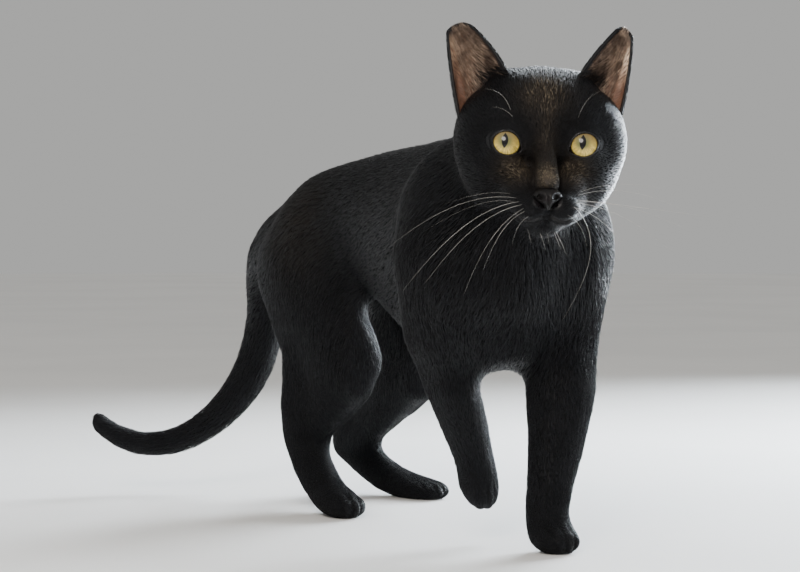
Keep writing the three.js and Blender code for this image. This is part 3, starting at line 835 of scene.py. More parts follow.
class Locks:
    """Where locks grow: their roots on a mesh, and each one's lie, length, width and lift."""

    def __init__(self, places, normals, lie, length, width, lift, seed):
        self.roots, self.normals, self.lie = places, normals, lie
        self.length, self.width, self.lift = length, width, lift
        self.random = np.random.default_rng(seed)

    def __len__(self):
        return len(self.roots)

    def points(self, tree):
        """Each lock's waist, the surface's normal and the way onward there, and the lock's tip."""
        def nearest(points):
            found = [tree.find_nearest(point) for point in points.tolist()]
            return np.array([f[0] for f in found]), np.array([f[1] for f in found])

        to_waist = (self.length * WAIST)[:, None]
        waist, waist_normal = nearest(self.roots + self.lie * to_waist)
        onward = along_surface(self.lie, waist_normal)
        tip, tip_normal = nearest(waist + onward * (self.length[:, None] - to_waist))
        lift = self.lift * self.random.uniform(0.34, 0.57, len(self))
        waist = waist + waist_normal * lift[:, None]
        lift = self.lift * self.random.uniform(0.52, 0.84, len(self))
        lift = lift + self.random.exponential(0.06 * self.lift)
        tip = tip + tip_normal * lift[:, None]
        return waist, waist_normal, onward, tip


WAIST = 0.38  # how far along a lock its widest place is
# A lock's corners are its root, the two sides of its waist, the waist's crest, and its tip.
SPINDLE = np.array([(0, 2, 1), (0, 1, 3), (0, 3, 2), (1, 2, 4), (3, 1, 4), (2, 3, 4)])
SPINDLE_ON_MAP = 0.003 * np.array([(0, -0.5), (-0.5, -0.1), (0.5, -0.1), (0, 0.06), (0, 0.5)])
SPINDLE_SHADE = np.array([0.0, 0.45, 0.45, 0.45, 1.0])  # from root to tip


def lock_mesh(name, locks, tree, unwrapped, tone, tints):
    """One mesh of many locks. Each is a thin spindle of six triangles that follows the surface."""
    waist, waist_normal, onward, tip = locks.points(tree)
    count = len(locks)
    half = (locks.width / 2)[:, None]
    roll = locks.random.normal(0, 0.15, count)[:, None]
    across = unit(np.cross(waist_normal, onward) + waist_normal * roll) * half
    root = locks.roots - locks.normals * 0.25 * MM
    crest = waist + waist_normal * (half * 0.5)
    places = np.stack([root, waist - across, waist + across, crest, tip], axis=1).reshape(-1, 3)
    faces = (SPINDLE[None] + 5 * np.arange(count)[:, None, None]).reshape(-1, 3)
    mesh = bpy.data.meshes.new(name)
    mesh.vertices.add(len(places))
    mesh.loops.add(faces.size)
    mesh.polygons.add(len(faces))
    mesh.vertices.foreach_set("co", places.astype(np.float32).ravel())
    mesh.loops.foreach_set("vertex_index", faces.astype(np.int32).ravel())
    mesh.polygons.foreach_set("loop_start", np.arange(0, faces.size, 3, dtype=np.int32))
    mesh.update(calc_edges=True)

    on_map = (unwrapped[:, None, :] + SPINDLE_ON_MAP).reshape(-1, 2)
    on_map = (on_map - on_map.min(axis=0)) / np.ptp(on_map, axis=0)
    layer = mesh.uv_layers.new(name="OFBake")
    layer.data.foreach_set("uv", on_map[faces.ravel()].astype(np.float32).ravel())
    write_numbers(mesh, "tone", (tone[:, None] * 0.7 + 0.3 * SPINDLE_SHADE).ravel())
    # Each lock's share of brown: partly the coat's own brown and partly painted sheen.
    write_numbers(mesh, "brown_and_sheen", np.repeat(tints, len(SPINDLE_SHADE)))
    return mesh


def unwrapped_round(places):
    """An unwrap of places round their own long axis: the turn about it, and the way along it."""
    offset = places - places.mean(axis=0)
    _, _, axes = np.linalg.svd(offset[:: max(1, len(offset) // 4000)], full_matrices=False)
    along, one, other = (offset @ axis for axis in axes)
    turn = np.arctan2(other - np.median(other), one - np.median(one)) / (2 * math.pi) + 0.5
    return np.column_stack([turn, (along - along.min()) / max(np.ptp(along), 1e-9)])


def scattered(triangles, places, density, random):
    """Random points on triangles: which triangle each is on, and its weights for the corners."""
    corners = places[triangles]
    area = np.linalg.norm(np.cross(corners[:, 1] - corners[:, 0], corners[:, 2] - corners[:, 0]), axis=1) / 2
    reached = np.cumsum(area * density[triangles].mean(axis=1))
    count = int(reached[-1])
    picks = (np.arange(count) + random.random(count)) / count * reached[-1]
    chosen = np.minimum(np.searchsorted(reached, picks), len(triangles) - 1)
    a, b = random.random(count), random.random(count)
    over = a + b > 1
    a[over], b[over] = 1 - a[over], 1 - b[over]
    return chosen, np.column_stack([1 - a - b, a, b])


COAT_PARTS = {
    "head": HEAD_NODES,
    "fore": ["neck", "chest", "shoulder_left", "shoulder_right"],
    "hind": ["loin", "rump", "thigh_left", "thigh_right"],
    "forelegs": ["forearm_left", "forearm_right", "forepaw_left", "forepaw_right"],
    "hind_legs": ["shank_left", "shank_right", "hind_foot_left", "hind_foot_right"],
    "tail": TAIL,
}
MOST_LOCKS = 32800  # in one piece of the coat


def make_coat(skin, flesh, settings):
    """Covers the skin with locks and returns their meshes by name."""
    mesh = skin.data
    places, normals, edges = places_of(mesh), normals_of(mesh), edges_of(mesh)
    regions = flesh.regions(places)
    q = to_head(places)
    sizes = hair_sizes(regions, edges, 14)
    on_head = head_share(q) * np.isin(regions, HEAD_NODES)
    to_nose = np.linalg.norm(q - np.array([0, -32, -24]), axis=1)
    to_eye = np.linalg.norm(mirrored(q) - EYE_FRONT, axis=1)
    growth = np.minimum(smoothstep(4, 62, to_nose), smoothstep(5, 30, to_eye))
    face = np.column_stack([1.5 + 4.7 * growth, 0.22 + 0.16 * growth, face_depth(q)])
    sizes = sizes * (1 - on_head[:, None]) + face * on_head[:, None]
    sizes = spread_evenly(sizes, edges, 3)
    sizes[:, 0] *= settings.length
    bare = bareness(places)
    socket = np.linalg.norm(mirrored(q) - EYE_AT, axis=1) < EYE_SIZE + 0.5
    sole = (places[:, 2] < 0.6 * MM) & (normals[:, 2] < -0.7)
    density = settings.coverage / (0.65 * sizes[:, 0] * sizes[:, 1]) / MM**2
    density *= (bare < 0.4) & ~socket & ~sole
    lie = hair_lie(places, normals, regions, edges)
    # The share of brown, partly the coat's own brown and partly painted sheen.
    warm = brown_and_sheen(places)

    tree, triangles = tree_of(mesh)
    random = np.random.default_rng(settings.seed)
    chosen, weights = scattered(triangles, places, density, random)
    corners = triangles[chosen]
    blend = lambda values: np.einsum("ij,ij...->i...", weights, values[corners])
    roots, root_normals = blend(places), unit(blend(normals))
    region = regions[corners[:, 0]]
    yaw = random.normal(0, 0.13, len(roots))[:, None]
    root_lie = along_surface(blend(lie), root_normals)
    root_lie = unit(root_lie * np.cos(yaw) + np.cross(root_normals, root_lie) * np.sin(yaw))
    size = blend(sizes) * random.uniform(0.75, 1.25, (len(roots), 1))
    tone, tint = random.random(len(roots)), blend(warm)

    meshes = {}
    for part, names in COAT_PARTS.items():
        mine = np.flatnonzero(np.isin(region, names))
        offset = roots[mine] - roots[mine].mean(axis=0)
        axis = np.linalg.svd(offset[:: max(1, len(mine) // 4000)], full_matrices=False)[2][0]
        mine = mine[np.argsort(offset @ axis, kind="stable")]
        pieces = math.ceil(len(mine) / MOST_LOCKS)
        for number, picked in enumerate(np.array_split(mine, pieces), 1):
            locks = Locks(
                roots[picked], root_normals[picked], root_lie[picked], *(size[picked].T * MM),
                settings.seed + len(meshes) + 1,
            )
            name = f"coat_{part}_{number}"
            unwrap = unwrapped_round(roots[picked])
            made = lock_mesh(name, locks, tree, unwrap, tone[picked], tint[picked])
            put_places(made, np.maximum(places_of(made), [-np.inf, -np.inf, COAT_ABOVE_FLOOR]))
            meshes[name] = made
    return meshes


# ---------------------------------------------------------------- the ears

EAR_INNER = np.array([(14.5, 9, 30), (24.5, 17, 50), (37, 27, 60.5)])
EAR_OUTER = np.array([(40.7, 17, 13), (46, 18, 37), (47, 27, 58)])
EAR_BULGE, EAR_CROWN, EAR_ROOT = 15.0, 3.5, 3.0
EAR_TURN = {1: (2.4, 0.0), -1: (-1.0, 1.7)}  # how far out each side's inner and outer edges stand


def bent_line(points, t):
    t = np.asarray(t)[..., None]
    return points[0] * (1 - t) ** 2 + 2 * points[1] * t * (1 - t) + points[2] * t**2


def ear_cup(u, v, side):
    """The middle of the ear's shell in the head's frame. u runs from the inner edge to the outer, v up."""
    u, v = np.broadcast_arrays(np.asarray(u, float), np.asarray(v, float))
    share = ((1 + u) / 2)[..., None]
    turn_in, turn_out = EAR_TURN[side]
    inner = bent_line(EAR_INNER + turn_in * np.array([(0, 0, 0), (1, 0, 0), (1, 0, 0)]), v)
    outer = bent_line(EAR_OUTER + [turn_out, 0, 0], v)
    point = inner * (1 - share) + outer * share
    point[..., 1] += EAR_BULGE * (1 - u**2) * (1 - v * 0.8)
    point[..., 2] += EAR_CROWN * (1 - u**2) * v**3
    return point


def ear_normal(u, v, side):
    step = 0.01
    across = ear_cup(u + step, v, side) - ear_cup(u - step, v, side)
    upward = ear_cup(u, v + step, side) - ear_cup(u, v - step, side)
    return unit(np.cross(across, upward))


def ear_root(u, side):
    """How low the shell starts, so that its root is sunk in the head."""
    v = np.full(len(u), 0.6)
    for _ in range(80):
        v = np.where((v > -0.05) & (head_form(ear_cup(u, v, side)) > -EAR_ROOT), v - 0.01, v)
    return v


def ear_relief(u, v):
    """Folds of the ear's lining, in millimetres towards the front."""
    ridge = lambda at, lean, size: bell((u - at - lean * v) / size)
    folds = 0.7 * ridge(0.10, -0.5, 0.10) + 0.55 * ridge(-0.25, -0.25, 0.09) + 0.6 * ridge(0.45, -0.45, 0.08)
    folds = folds * smoothstep(0.75, 0.35, v)
    pocket = np.exp(-np.square((u - 0.80) / 0.13) - np.square((v - 0.30) / 0.10))
    lip = np.exp(-np.square((u - 0.66) / 0.06) - np.square((v - 0.27) / 0.12))
    return folds - 1.4 * pocket + 1.0 * lip


def make_ear(side, settings):
    """A thin cup with a rounded rim. Its front is the lining and its back is furred."""
    bm = bmesh.new()
    bmesh.ops.create_grid(bm, x_segments=56, y_segments=56, size=1)
    thickness = settings.thickness / MM
    bmesh.ops.solidify(bm, geom=bm.verts[:] + bm.edges[:] + bm.faces[:], thickness=1.0)
    settle_order(bm.edges)
    settle_order(bm.faces)
    rim_edges = [edge for edge in bm.edges if abs(edge.verts[0].co.z - edge.verts[1].co.z) > 0.5]
    bmesh.ops.subdivide_edges(bm, edges=rim_edges, cuts=2, use_grid_fill=True)
    flat = np.array([vertex.co for vertex in bm.verts])
    low, high = flat[:, 2].min(), flat[:, 2].max()
    layer = (flat[:, 2] - low) / (high - low) - 0.5
    ease = lambda x: np.sign(x) * (1 - (1 - np.abs(x)) ** 1.6)
    u = 0.985 * ease(flat[:, 0])
    up = (flat[:, 1] + 1) / 2
    v = np.clip(ear_root(u, side) * (1 - up) + 0.98 * (1 - (1 - up) ** 1.3), -0.1, 0.98)
    edge = np.clip(np.minimum((1 - np.abs(u)) / 0.10, (0.99 - v) / 0.07), 0.05, 1)
    local = thickness * (1 - 0.35 * v) * (0.35 + 0.65 * np.sqrt(1 - (1 - edge) ** 2))
    round_rim = 1 - 0.012 * np.square(2 * layer)
    point = ear_cup(u * round_rim, v, side)
    normal = ear_normal(u, v, side)
    towards_front = -1.0 if normal[:, 1].mean() > 0 else 1.0
    front = smoothstep(0.2, 0.5, towards_front * layer)
    point = point + normal * (layer * local)[:, None]
    relief = ear_relief(u, v) * front * smoothstep(0, 0.6, edge) * smoothstep(0.02, 0.15, v)
    point = point + normal * (towards_front * relief)[:, None]
    if side < 0:
        point[:, 0] *= -1
    move_vertices(bm, from_head(point))
    face_out(bm)
    name = "ear_shell_left" if side > 0 else "ear_shell_right"
    mesh = mesh_from(bm, name)
    write_numbers(mesh, "lining", front * smoothstep(0.10, 0.75, edge))
    write_numbers(mesh, "cup", np.column_stack([u, v, np.full(len(u), float(side > 0))]))
    return name, mesh


def ear_hair(side, seed):
    """Locks on the back and rim of the ear, and long thin hairs across its lining."""
    random = np.random.default_rng(seed)
    groups = []

    def grow(u, v, facing, sweep, length, width, lift, tone, tint):
        """Adds hairs that stand on the front (-1) or back (1) of the shell and sweep along (du, dv)."""
        normal = ear_normal(u, v, side)
        normal = normal * np.sign(normal[:, 1:2]) * facing
        root = ear_cup(u, v, side) + normal * 0.7
        ahead = ear_cup(u + sweep[0] * 0.02, v + sweep[1] * 0.02, side) - ear_cup(u, v, side)
        if side < 0:
            root, normal, ahead = (values * [-1, 1, 1] for values in (root, normal, ahead))
        normal = unit(normal @ HEAD_AXES)
        lie = along_surface(ahead @ HEAD_AXES, normal)
        numbers = (length * MM, width * MM, lift * MM, tone, tint)
        groups.append([from_head(root), normal, lie, *(np.broadcast_to(value, u.shape) for value in numbers)])

    drawn = random.uniform
    count = 5200  # over the back
    u, v = drawn(-0.97, 0.97, count), drawn(0.0, 0.97, count)
    grow(u, v, 1, (u * 0.3, 1), drawn(2.6, 4.2, count), 0.45, 0.7, random.random(count), 0)
    count = 900  # round the rim
    around = random.random(count)
    u = np.where(around < 0.45, -0.95, np.where(around < 0.9, 0.95, drawn(-0.9, 0.9, count)))
    v = np.where(around < 0.9, drawn(0.05, 0.95, count), 0.94)
    grow(u, v, -1, (0.12 * np.sign(u), 1), drawn(1.8, 3.0, count), 0.3, 0.5, random.random(count), 0)
    count = 620  # at the inner root
    u, v = drawn(-0.97, -0.25, count), drawn(-0.02, 0.20, count)
    u = u - 0.5 * v
    grow(u, v, -1, (1, 0.7), drawn(6, 12, count), 0.36, drawn(0.6, 2.6, count), random.random(count),
         0.2 * random.random(count))
    count = 1500  # across the lining
    u, v = -0.93 + 1.5 * random.random(count) ** 1.3, drawn(0.02, 0.86, count)
    grow(u, v, -1, (0.8, 0.45 + 0.6 * random.random(count)), drawn(4, 11, count), 0.15,
         drawn(0.5, 2.4, count), random.random(count), 1)
    outside, inside = groups[:3], groups[3:]
    return [[np.concatenate(values) for values in zip(*hairs)] for hairs in (outside, inside)]


# ---------------------------------------------------------------- the eyes and the nose


def make_eyeball(node, settings):
    """An eyeball with a slight bulge for the cornea, and its places about the pupil stored for the iris."""
    side = 1 if node == "eye_left" else -1
    bm = bmesh.new()
    bmesh.ops.create_icosphere(bm, subdivisions=6, radius=EYE_SIZE)
    local = np.array([vertex.co for vertex in bm.verts])
    off_axis = np.hypot(local[:, 0], local[:, 2])
    bulge = 0.42 * np.square(np.clip(1 - np.square(off_axis / 6.4), 0, 1)) * (local[:, 1] < 0)
    local += unit(local) * bulge[:, None]
    move_vertices(bm, from_head(local + EYE_AT * [side, 1, 1]))
    mesh = mesh_from(bm, f"eyeball{node.removeprefix('eye')}")
    gaze = np.column_stack([local[:, 0] + 1.0, local[:, 2] - 1.2, local[:, 1]])
    write_numbers(mesh, "gaze", gaze * MM)
    edge = lid_ellipse(np.arctan2(local[:, 2], local[:, 0] * side))
    write_numbers(mesh, "edge", np.minimum(off_axis / edge, 2))
    return mesh


def make_nose():
    """The bare leather at the tip of the nose, with its wings, nostrils and cleft."""
    bm = bmesh.new()
    bmesh.ops.create_icosphere(bm, subdivisions=6, radius=1)
    ball = np.array([vertex.co for vertex in bm.verts])
    p = ball * [7.5, 5.2, 5.0]
    drop = smoothstep(1.5, -4.6, p[:, 2])
    p[:, 0] *= 1 - 0.62 * drop
    p[:, 2] += 0.6 - 1.2 * smoothstep(3, 0, np.abs(p[:, 0])) * (p[:, 2] < 0)
    p[:, 1] += 0.050 * p[:, 0] ** 2 + 0.25 * np.clip(p[:, 2], -5, 5)
    front = smoothstep(0.5, -1.5, ball[:, 1] * 5.2)
    x, z = np.abs(p[:, 0]), p[:, 2]
    hole = np.hypot((x - 3.9) / 1.55, (z - 0.9 - 0.25 * (x - 3.9)) / 1.25)
    slit = bell((z - 0.2 + 0.25 * (x - 6)) / 0.55) * smoothstep(3.6, 5.2, x) * smoothstep(8, 7, x)
    pits = 3.0 * np.exp(-(hole**2.4)) + 1.1 * slit
    wings = 0.4 * bell((np.hypot((x - 4.4) / 3.1, (z - 1.0) / 2.6) - 1) / 0.28)
    cleft = 0.75 * bell(x / 0.5) * smoothstep(2.0, 0.0, z)
    p[:, 1] += front * (pits - wings + cleft)
    move_vertices(bm, from_head(p + NOSE_AT))
    # The second value is how deep each point lies in a nostril or slit, which the leather's finish darkens as
    # painted shade.
    return mesh_from(bm, "nose_pad"), np.clip(front * (pits / 2.0), 0, 1)


# ---------------------------------------------------------------- whiskers

# Each whisker in the head's frame, in millimetres: where it grows on the face, how far its tip is from its
# root, how far its middle is pushed off the straight line, and how thick it is against the thickest.
WHISKERS = [
    ((-14.0, -27.5), (-64, -2, -26), (-2, -7, 9), 0.8),
    ((-13.0, -29.0), (-58, -8, -46), (-3, -7, 9), 1.0),
    ((-12.0, -30.5), (-48, -9, -40), (-3, -6, 7), 1.0),
    ((-11.0, -32.0), (-30, -9, -44), (-4, -5, 5), 0.8),
    ((-10.5, -33.5), (-21, -7, -30), (-3, -4, 4), 0.8),
    ((-16.5, -25.5), (-34, 6, -6), (0, -5, 3), 0.4),
    ((-8.5, -36.0), (-9, -5, -15), (-2, -2, 2), 0.6),
    ((-15.0, -29.5), (-44, 3, -15), (0, -6, 6), 0.4),
    ((14.5, -27.5), (69, 2, -7), (2, -8, 0), 1.0),
    ((15.5, -25.5), (53, 4, -5), (0, -7, 6), 0.75),
    ((13.0, -29.0), (50, -3, -24), (2, -7, 5), 0.9),
    ((16.5, -24.0), (44, 8, 3), (0, -5, 4), 0.55),
    ((14.0, -28.5), (58, 0, -13), (1, -7, 4), 0.7),
    ((11.8, -31.0), (27, -7, -20), (2, -4, 3), 0.7),
    ((12.5, -30.0), (-5, -12, -57), (13, -4, 3), 0.8),
    ((9.5, -35.0), (10, -5, -16), (2, -3, 2), 0.5),
    ((-17.2, 15.5), (-14, -8, 11), (1, -3, 4), 0.9),
    ((-16.0, 12.5), (-12, -8, 5), (0, -3, 2), 0.6),
    ((17.2, 15.5), (11, -8, 12), (-1, -3, 3), 0.3),
    ((16.0, 12.5), (8, -8, 14), (-1, -3, 2), 0.4),
    ((33.0, -14.0), (20, 12, 4), (0, -4, 2), 0.35),
    ((-8.5, -41.5), (2, -3, -8), (0, -2, 0), 0.7),
    ((-2.5, -44.0), (3, -3, -9), (0, -2, 0), 0.8),
    ((5.5, -43.0), (6, -3, -13), (0, -2, 0), 0.9),
    ((4.5, -43.5), (4, -3, -10), (0, -2, 0), 0.8),
    ((1.0, -44.0), (1, -2, -6), (0, -2, 0), 0.5),
]


def make_whiskers(skin, settings):
    """Tapering whiskers, as one mesh of thin tubes with closed ends."""
    tree, _ = tree_of(skin.data)
    look = Vector(HEAD_AXES[1])
    curve = bpy.data.curves.new("whisker_lines", "CURVE")
    curve.dimensions = "3D"
    curve.bevel_depth = settings.thickness / 2
    curve.bevel_resolution = 1
    curve.resolution_u = 1
    curve.use_fill_caps = True
    for (x, z), reach, push, thick in WHISKERS:
        start = Vector(from_head([[x, -70, z]])[0])
        root, _, _, _ = tree.ray_cast(start, look)
        if root is None:
            raise RuntimeError(f"no skin behind the whisker at {x}, {z}")
        root = to_head(np.array(root)[None])[0] + [0, 0.8, 0]
        reach, push = np.array(reach, float), np.array(push, float)
        t = np.linspace(0, 1, 15)[:, None]
        line = from_head(root + reach * t + push * 4 * t * (1 - t) * (1 - 0.35 * t))
        spline = curve.splines.new("POLY")
        spline.points.add(len(line) - 1)
        spline.points.foreach_set("co", np.column_stack([line, np.ones(len(line))]).ravel())
        spline.points.foreach_set("radius", thick * ((1 - t[:, 0]) ** 0.8 * 0.85 + 0.15))
    obj = new_object("whisker_lines", curve)
    graph = bpy.context.evaluated_depsgraph_get()
    mesh = bpy.data.meshes.new_from_object(obj.evaluated_get(graph))
    bpy.data.objects.remove(obj)
    with editing(mesh) as bm:
        bmesh.ops.remove_doubles(bm, verts=bm.verts, dist=1e-6)
        face_out(bm)
    return mesh


# ---------------------------------------------------------------- materials


class Finish:
    """A material of nodes, with short ways to add them."""

    def __init__(self, name):
        self.material = bpy.data.materials.new(name)
        self.material.use_nodes = True
        self.nodes, self.links = self.material.node_tree.nodes, self.material.node_tree.links
        self.shader = next(node for node in self.nodes if node.type == "BSDF_PRINCIPLED")

    def node(self, kind, inputs=None, **settings):
        node = self.nodes.new(kind)
        for key, value in settings.items():
            setattr(node, key, value)
        for key, value in (inputs or {}).items():
            self.feed(node.inputs[key], value)
        return node

    def feed(self, socket, value):
        if isinstance(value, bpy.types.NodeSocket):
            self.links.new(value, socket)
        elif socket.type == "RGBA" and len(value) == 3:
            socket.default_value = (*value, 1)
        else:
            socket.default_value = value

    def maths(self, operation, *values, clamp=False):
        inputs = dict(enumerate(values))
        return self.node("ShaderNodeMath", inputs, operation=operation, use_clamp=clamp).outputs[0]

    def add(self, *values):
        return self.maths("ADD", *values)

    def subtract(self, *values):
        return self.maths("SUBTRACT", *values)

    def multiply(self, *values, clamp=False):
        return self.maths("MULTIPLY", *values, clamp=clamp)

    def mapped(self, value, low, high, to_low=0.0, to_high=1.0):
        inputs = {"Value": value, "From Min": low, "From Max": high, "To Min": to_low, "To Max": to_high}
        return self.node("ShaderNodeMapRange", inputs, interpolation_type="SMOOTHSTEP").outputs[0]

    def blend(self, share, first, second):
        node = self.node("ShaderNodeMix", data_type="RGBA")
        factor = next(s for s in node.inputs if s.name == "Factor" and s.type == "VALUE")
        a, b = (next(s for s in node.inputs if s.name == key and s.type == "RGBA") for key in ("A", "B"))
        for socket, value in ((factor, share), (a, first), (b, second)):
            self.feed(socket, value)
        return next(out for out in node.outputs if out.type == "RGBA")

    def attribute(self, name, output="Fac"):
        return self.node("ShaderNodeAttribute", attribute_name=name).outputs[output]

    def split(self, name):
        """The three numbers of a vector attribute."""
        return self.node("ShaderNodeSeparateXYZ", {0: self.attribute(name, "Vector")}).outputs

    def vector(self, *values):
        return self.node("ShaderNodeCombineXYZ", dict(enumerate(values))).outputs[0]

    def place(self):
        return self.node("ShaderNodeTexCoord").outputs["Object"]

    def noise(self, vector, scale, detail=3.0, rough=0.55):
        inputs = {"Vector": vector, "Scale": scale, "Detail": detail, "Roughness": rough}
        return self.node("ShaderNodeTexNoise", inputs).outputs["Fac"]

    def bumped(self, height, distance, strength=1.0):
        inputs = {"Height": height, "Distance": distance, "Strength": strength}
        self.feed(self.shader.inputs["Normal"], self.node("ShaderNodeBump", inputs).outputs["Normal"])

    def set(self, **values):
        for key, value in values.items():
            self.feed(self.shader.inputs[key.replace("_", " ")], value)
        return self.material


def skin_finish(coat):
    """Black skin under the coat, glossy and bare on the lids' edges and lips."""
    finish = Finish("skin_under_coat")
    place = finish.place()
    fine = finish.noise(place, 900.0)
    broad = finish.noise(place, 60.0)
    # The brown share is partly the coat's own brown and partly painted sheen.
    warm = finish.multiply(finish.attribute("brown_and_sheen"), finish.mapped(broad, 0.3, 0.7, 0.5, 1.0))
    colour = finish.blend(warm, coat.black, coat.brown)
    bare = finish.attribute("bare")
    colour = finish.blend(bare, colour, (0.006, 0.005, 0.006))
    rough = finish.mapped(fine, 0.3, 0.7, 0.5, 0.72)
    rough = finish.subtract(rough, finish.multiply(bare, 0.28))
    finish.bumped(fine, 0.0006, 0.6)
    return finish.set(Base_Color=colour, Roughness=rough, Specular_IOR_Level=0.35)


def coat_finish(coat, name="coat_hair"):
    """Hair: jet black with a gloss, a little lighter towards the tips, and brown on the face and haunches,
    partly the coat's own brown and partly painted sheen, with a sandy painted sheen where it is brownest.
    """
    finish = Finish(name)
    place = finish.place()
    tone = finish.attribute("tone")
    patch = finish.noise(place, 45.0, 2.0)
    lighter = finish.blend(0.5, coat.black, (0.017, 0.017, 0.021))
    colour = finish.blend(finish.mapped(tone, 0.35, 1.0), coat.black, lighter)
    # Brown share: partly the coat's own brown and partly painted sheen on the brow, face, bridge and
    # haunches.
    warm = finish.multiply(finish.attribute("brown_and_sheen"), finish.mapped(tone, 0.0, 0.9, 0.15, 1.2))
    warm = finish.multiply(warm, finish.mapped(patch, 0.25, 0.6, 0.6, 1.0), clamp=True)
    colour = finish.blend(warm, colour, coat.brown)
    # A sandy painted sheen where the brown share is highest, on the bridge's tip and the brow.
    sandy_painted_sheen = finish.mapped(finish.attribute("brown_and_sheen"), 0.72, 1.0, 0.0, 0.8)
    colour = finish.blend(sandy_painted_sheen, colour, (0.115, 0.092, 0.066))
    warmest = finish.mapped(finish.attribute("brown_and_sheen"), 0.25, 0.75)
    fleck = finish.multiply(warmest, finish.mapped(tone, 0.66, 0.80), clamp=True)
    colour = finish.blend(fleck, colour, (0.19, 0.153, 0.106))
    rough = finish.mapped(tone, 0.0, 1.0, 0.36, 0.50)
    return finish.set(Base_Color=colour, Roughness=rough, Specular_IOR_Level=0.20)


def fringe_finish():
    """The thin light hairs inside the ears."""
    finish = Finish("ear_fringe")
    tone = finish.attribute("tone")
    colour = finish.blend(finish.mapped(tone, 0.1, 0.9), (0.10, 0.058, 0.036), (0.54, 0.40, 0.30))
    patch = finish.mapped(finish.noise(finish.place(), 110.0), 0.40, 0.62, 0.0, 0.85)
    colour = finish.blend(patch, colour, (0.060, 0.034, 0.023))
    return finish.set(Base_Color=colour, Roughness=finish.mapped(tone, 0.0, 1.0, 0.35, 0.5))


def ear_finish(settings, coat):
    """A brownish pink lining that is lighter near its upper and outer edges as a painted glow of light
    through it, much lighter on the left ear as a painted backlit glow, and darkened by painted shade in its
    depths, with black fur behind.
    """
    finish = Finish("ear_skin")
    u, v, painted_lit_ear = finish.split("cup")
    place = finish.place()
    broad = finish.noise(place, 120.0, 4.0)
    across = finish.subtract(finish.multiply(v, 60.0), finish.multiply(u, 32.0))
    along = finish.add(finish.multiply(u, 4.0), finish.multiply(v, 4.0))
    streaks = finish.noise(finish.vector(across, along), 1.0, 3.0)
    # Painted glow of light through the ear, lighter towards its top and outer edge.
    high = finish.multiply(finish.mapped(v, 0.25, 0.70), finish.mapped(u, -0.5, 0.45, 0.25, 1.0))
    # The left ear's lining is a lit copy, much lighter than the right's: a painted backlit glow.
    light = finish.blend(painted_lit_ear, (0.34, 0.235, 0.160), (0.92, 0.70, 0.53))
    lit = finish.blend(high, settings.lining, light)
    lit = finish.blend(finish.mapped(broad, 0.38, 0.64, 0.0, 0.7), lit, (0.11, 0.055, 0.036))
    lit = finish.blend(finish.mapped(streaks, 0.40, 0.64, 0.0, 0.85), lit, (0.075, 0.038, 0.026))
    # Painted shade in the low inner hollow of the ear.
    deep = finish.multiply(finish.mapped(v, 0.50, 0.12), finish.mapped(u, 0.75, -0.1, 0.15, 1.0))
    lit = finish.blend(finish.multiply(deep, 0.85), lit, (0.030, 0.018, 0.015))
    tip = finish.mapped(v, 0.80, 0.97)
    ragged = finish.add(finish.multiply(streaks, 0.9), finish.mapped(v, 0.75, 0.1, 0.0, 0.45))
    inner_edge = finish.mapped(finish.subtract(u, ragged), -0.45, -0.95)
    dark = finish.maths("MAXIMUM", tip, finish.multiply(inner_edge, 0.9))
    lit = finish.blend(dark, lit, (0.012, 0.010, 0.010))
    colour = finish.blend(finish.attribute("lining"), coat.black, lit)
    fine = finish.noise(place, 1400.0)
    finish.bumped(finish.add(streaks, fine), 0.0004, 0.5)
    rough = finish.mapped(streaks, 0.2, 0.8, 0.45, 0.65)
    return finish.set(
        Base_Color=colour, Roughness=rough, Specular_IOR_Level=0.3, Subsurface_Weight=0.25,
        Subsurface_Radius=(0.004, 0.0015, 0.001), Subsurface_Scale=0.6,
    )


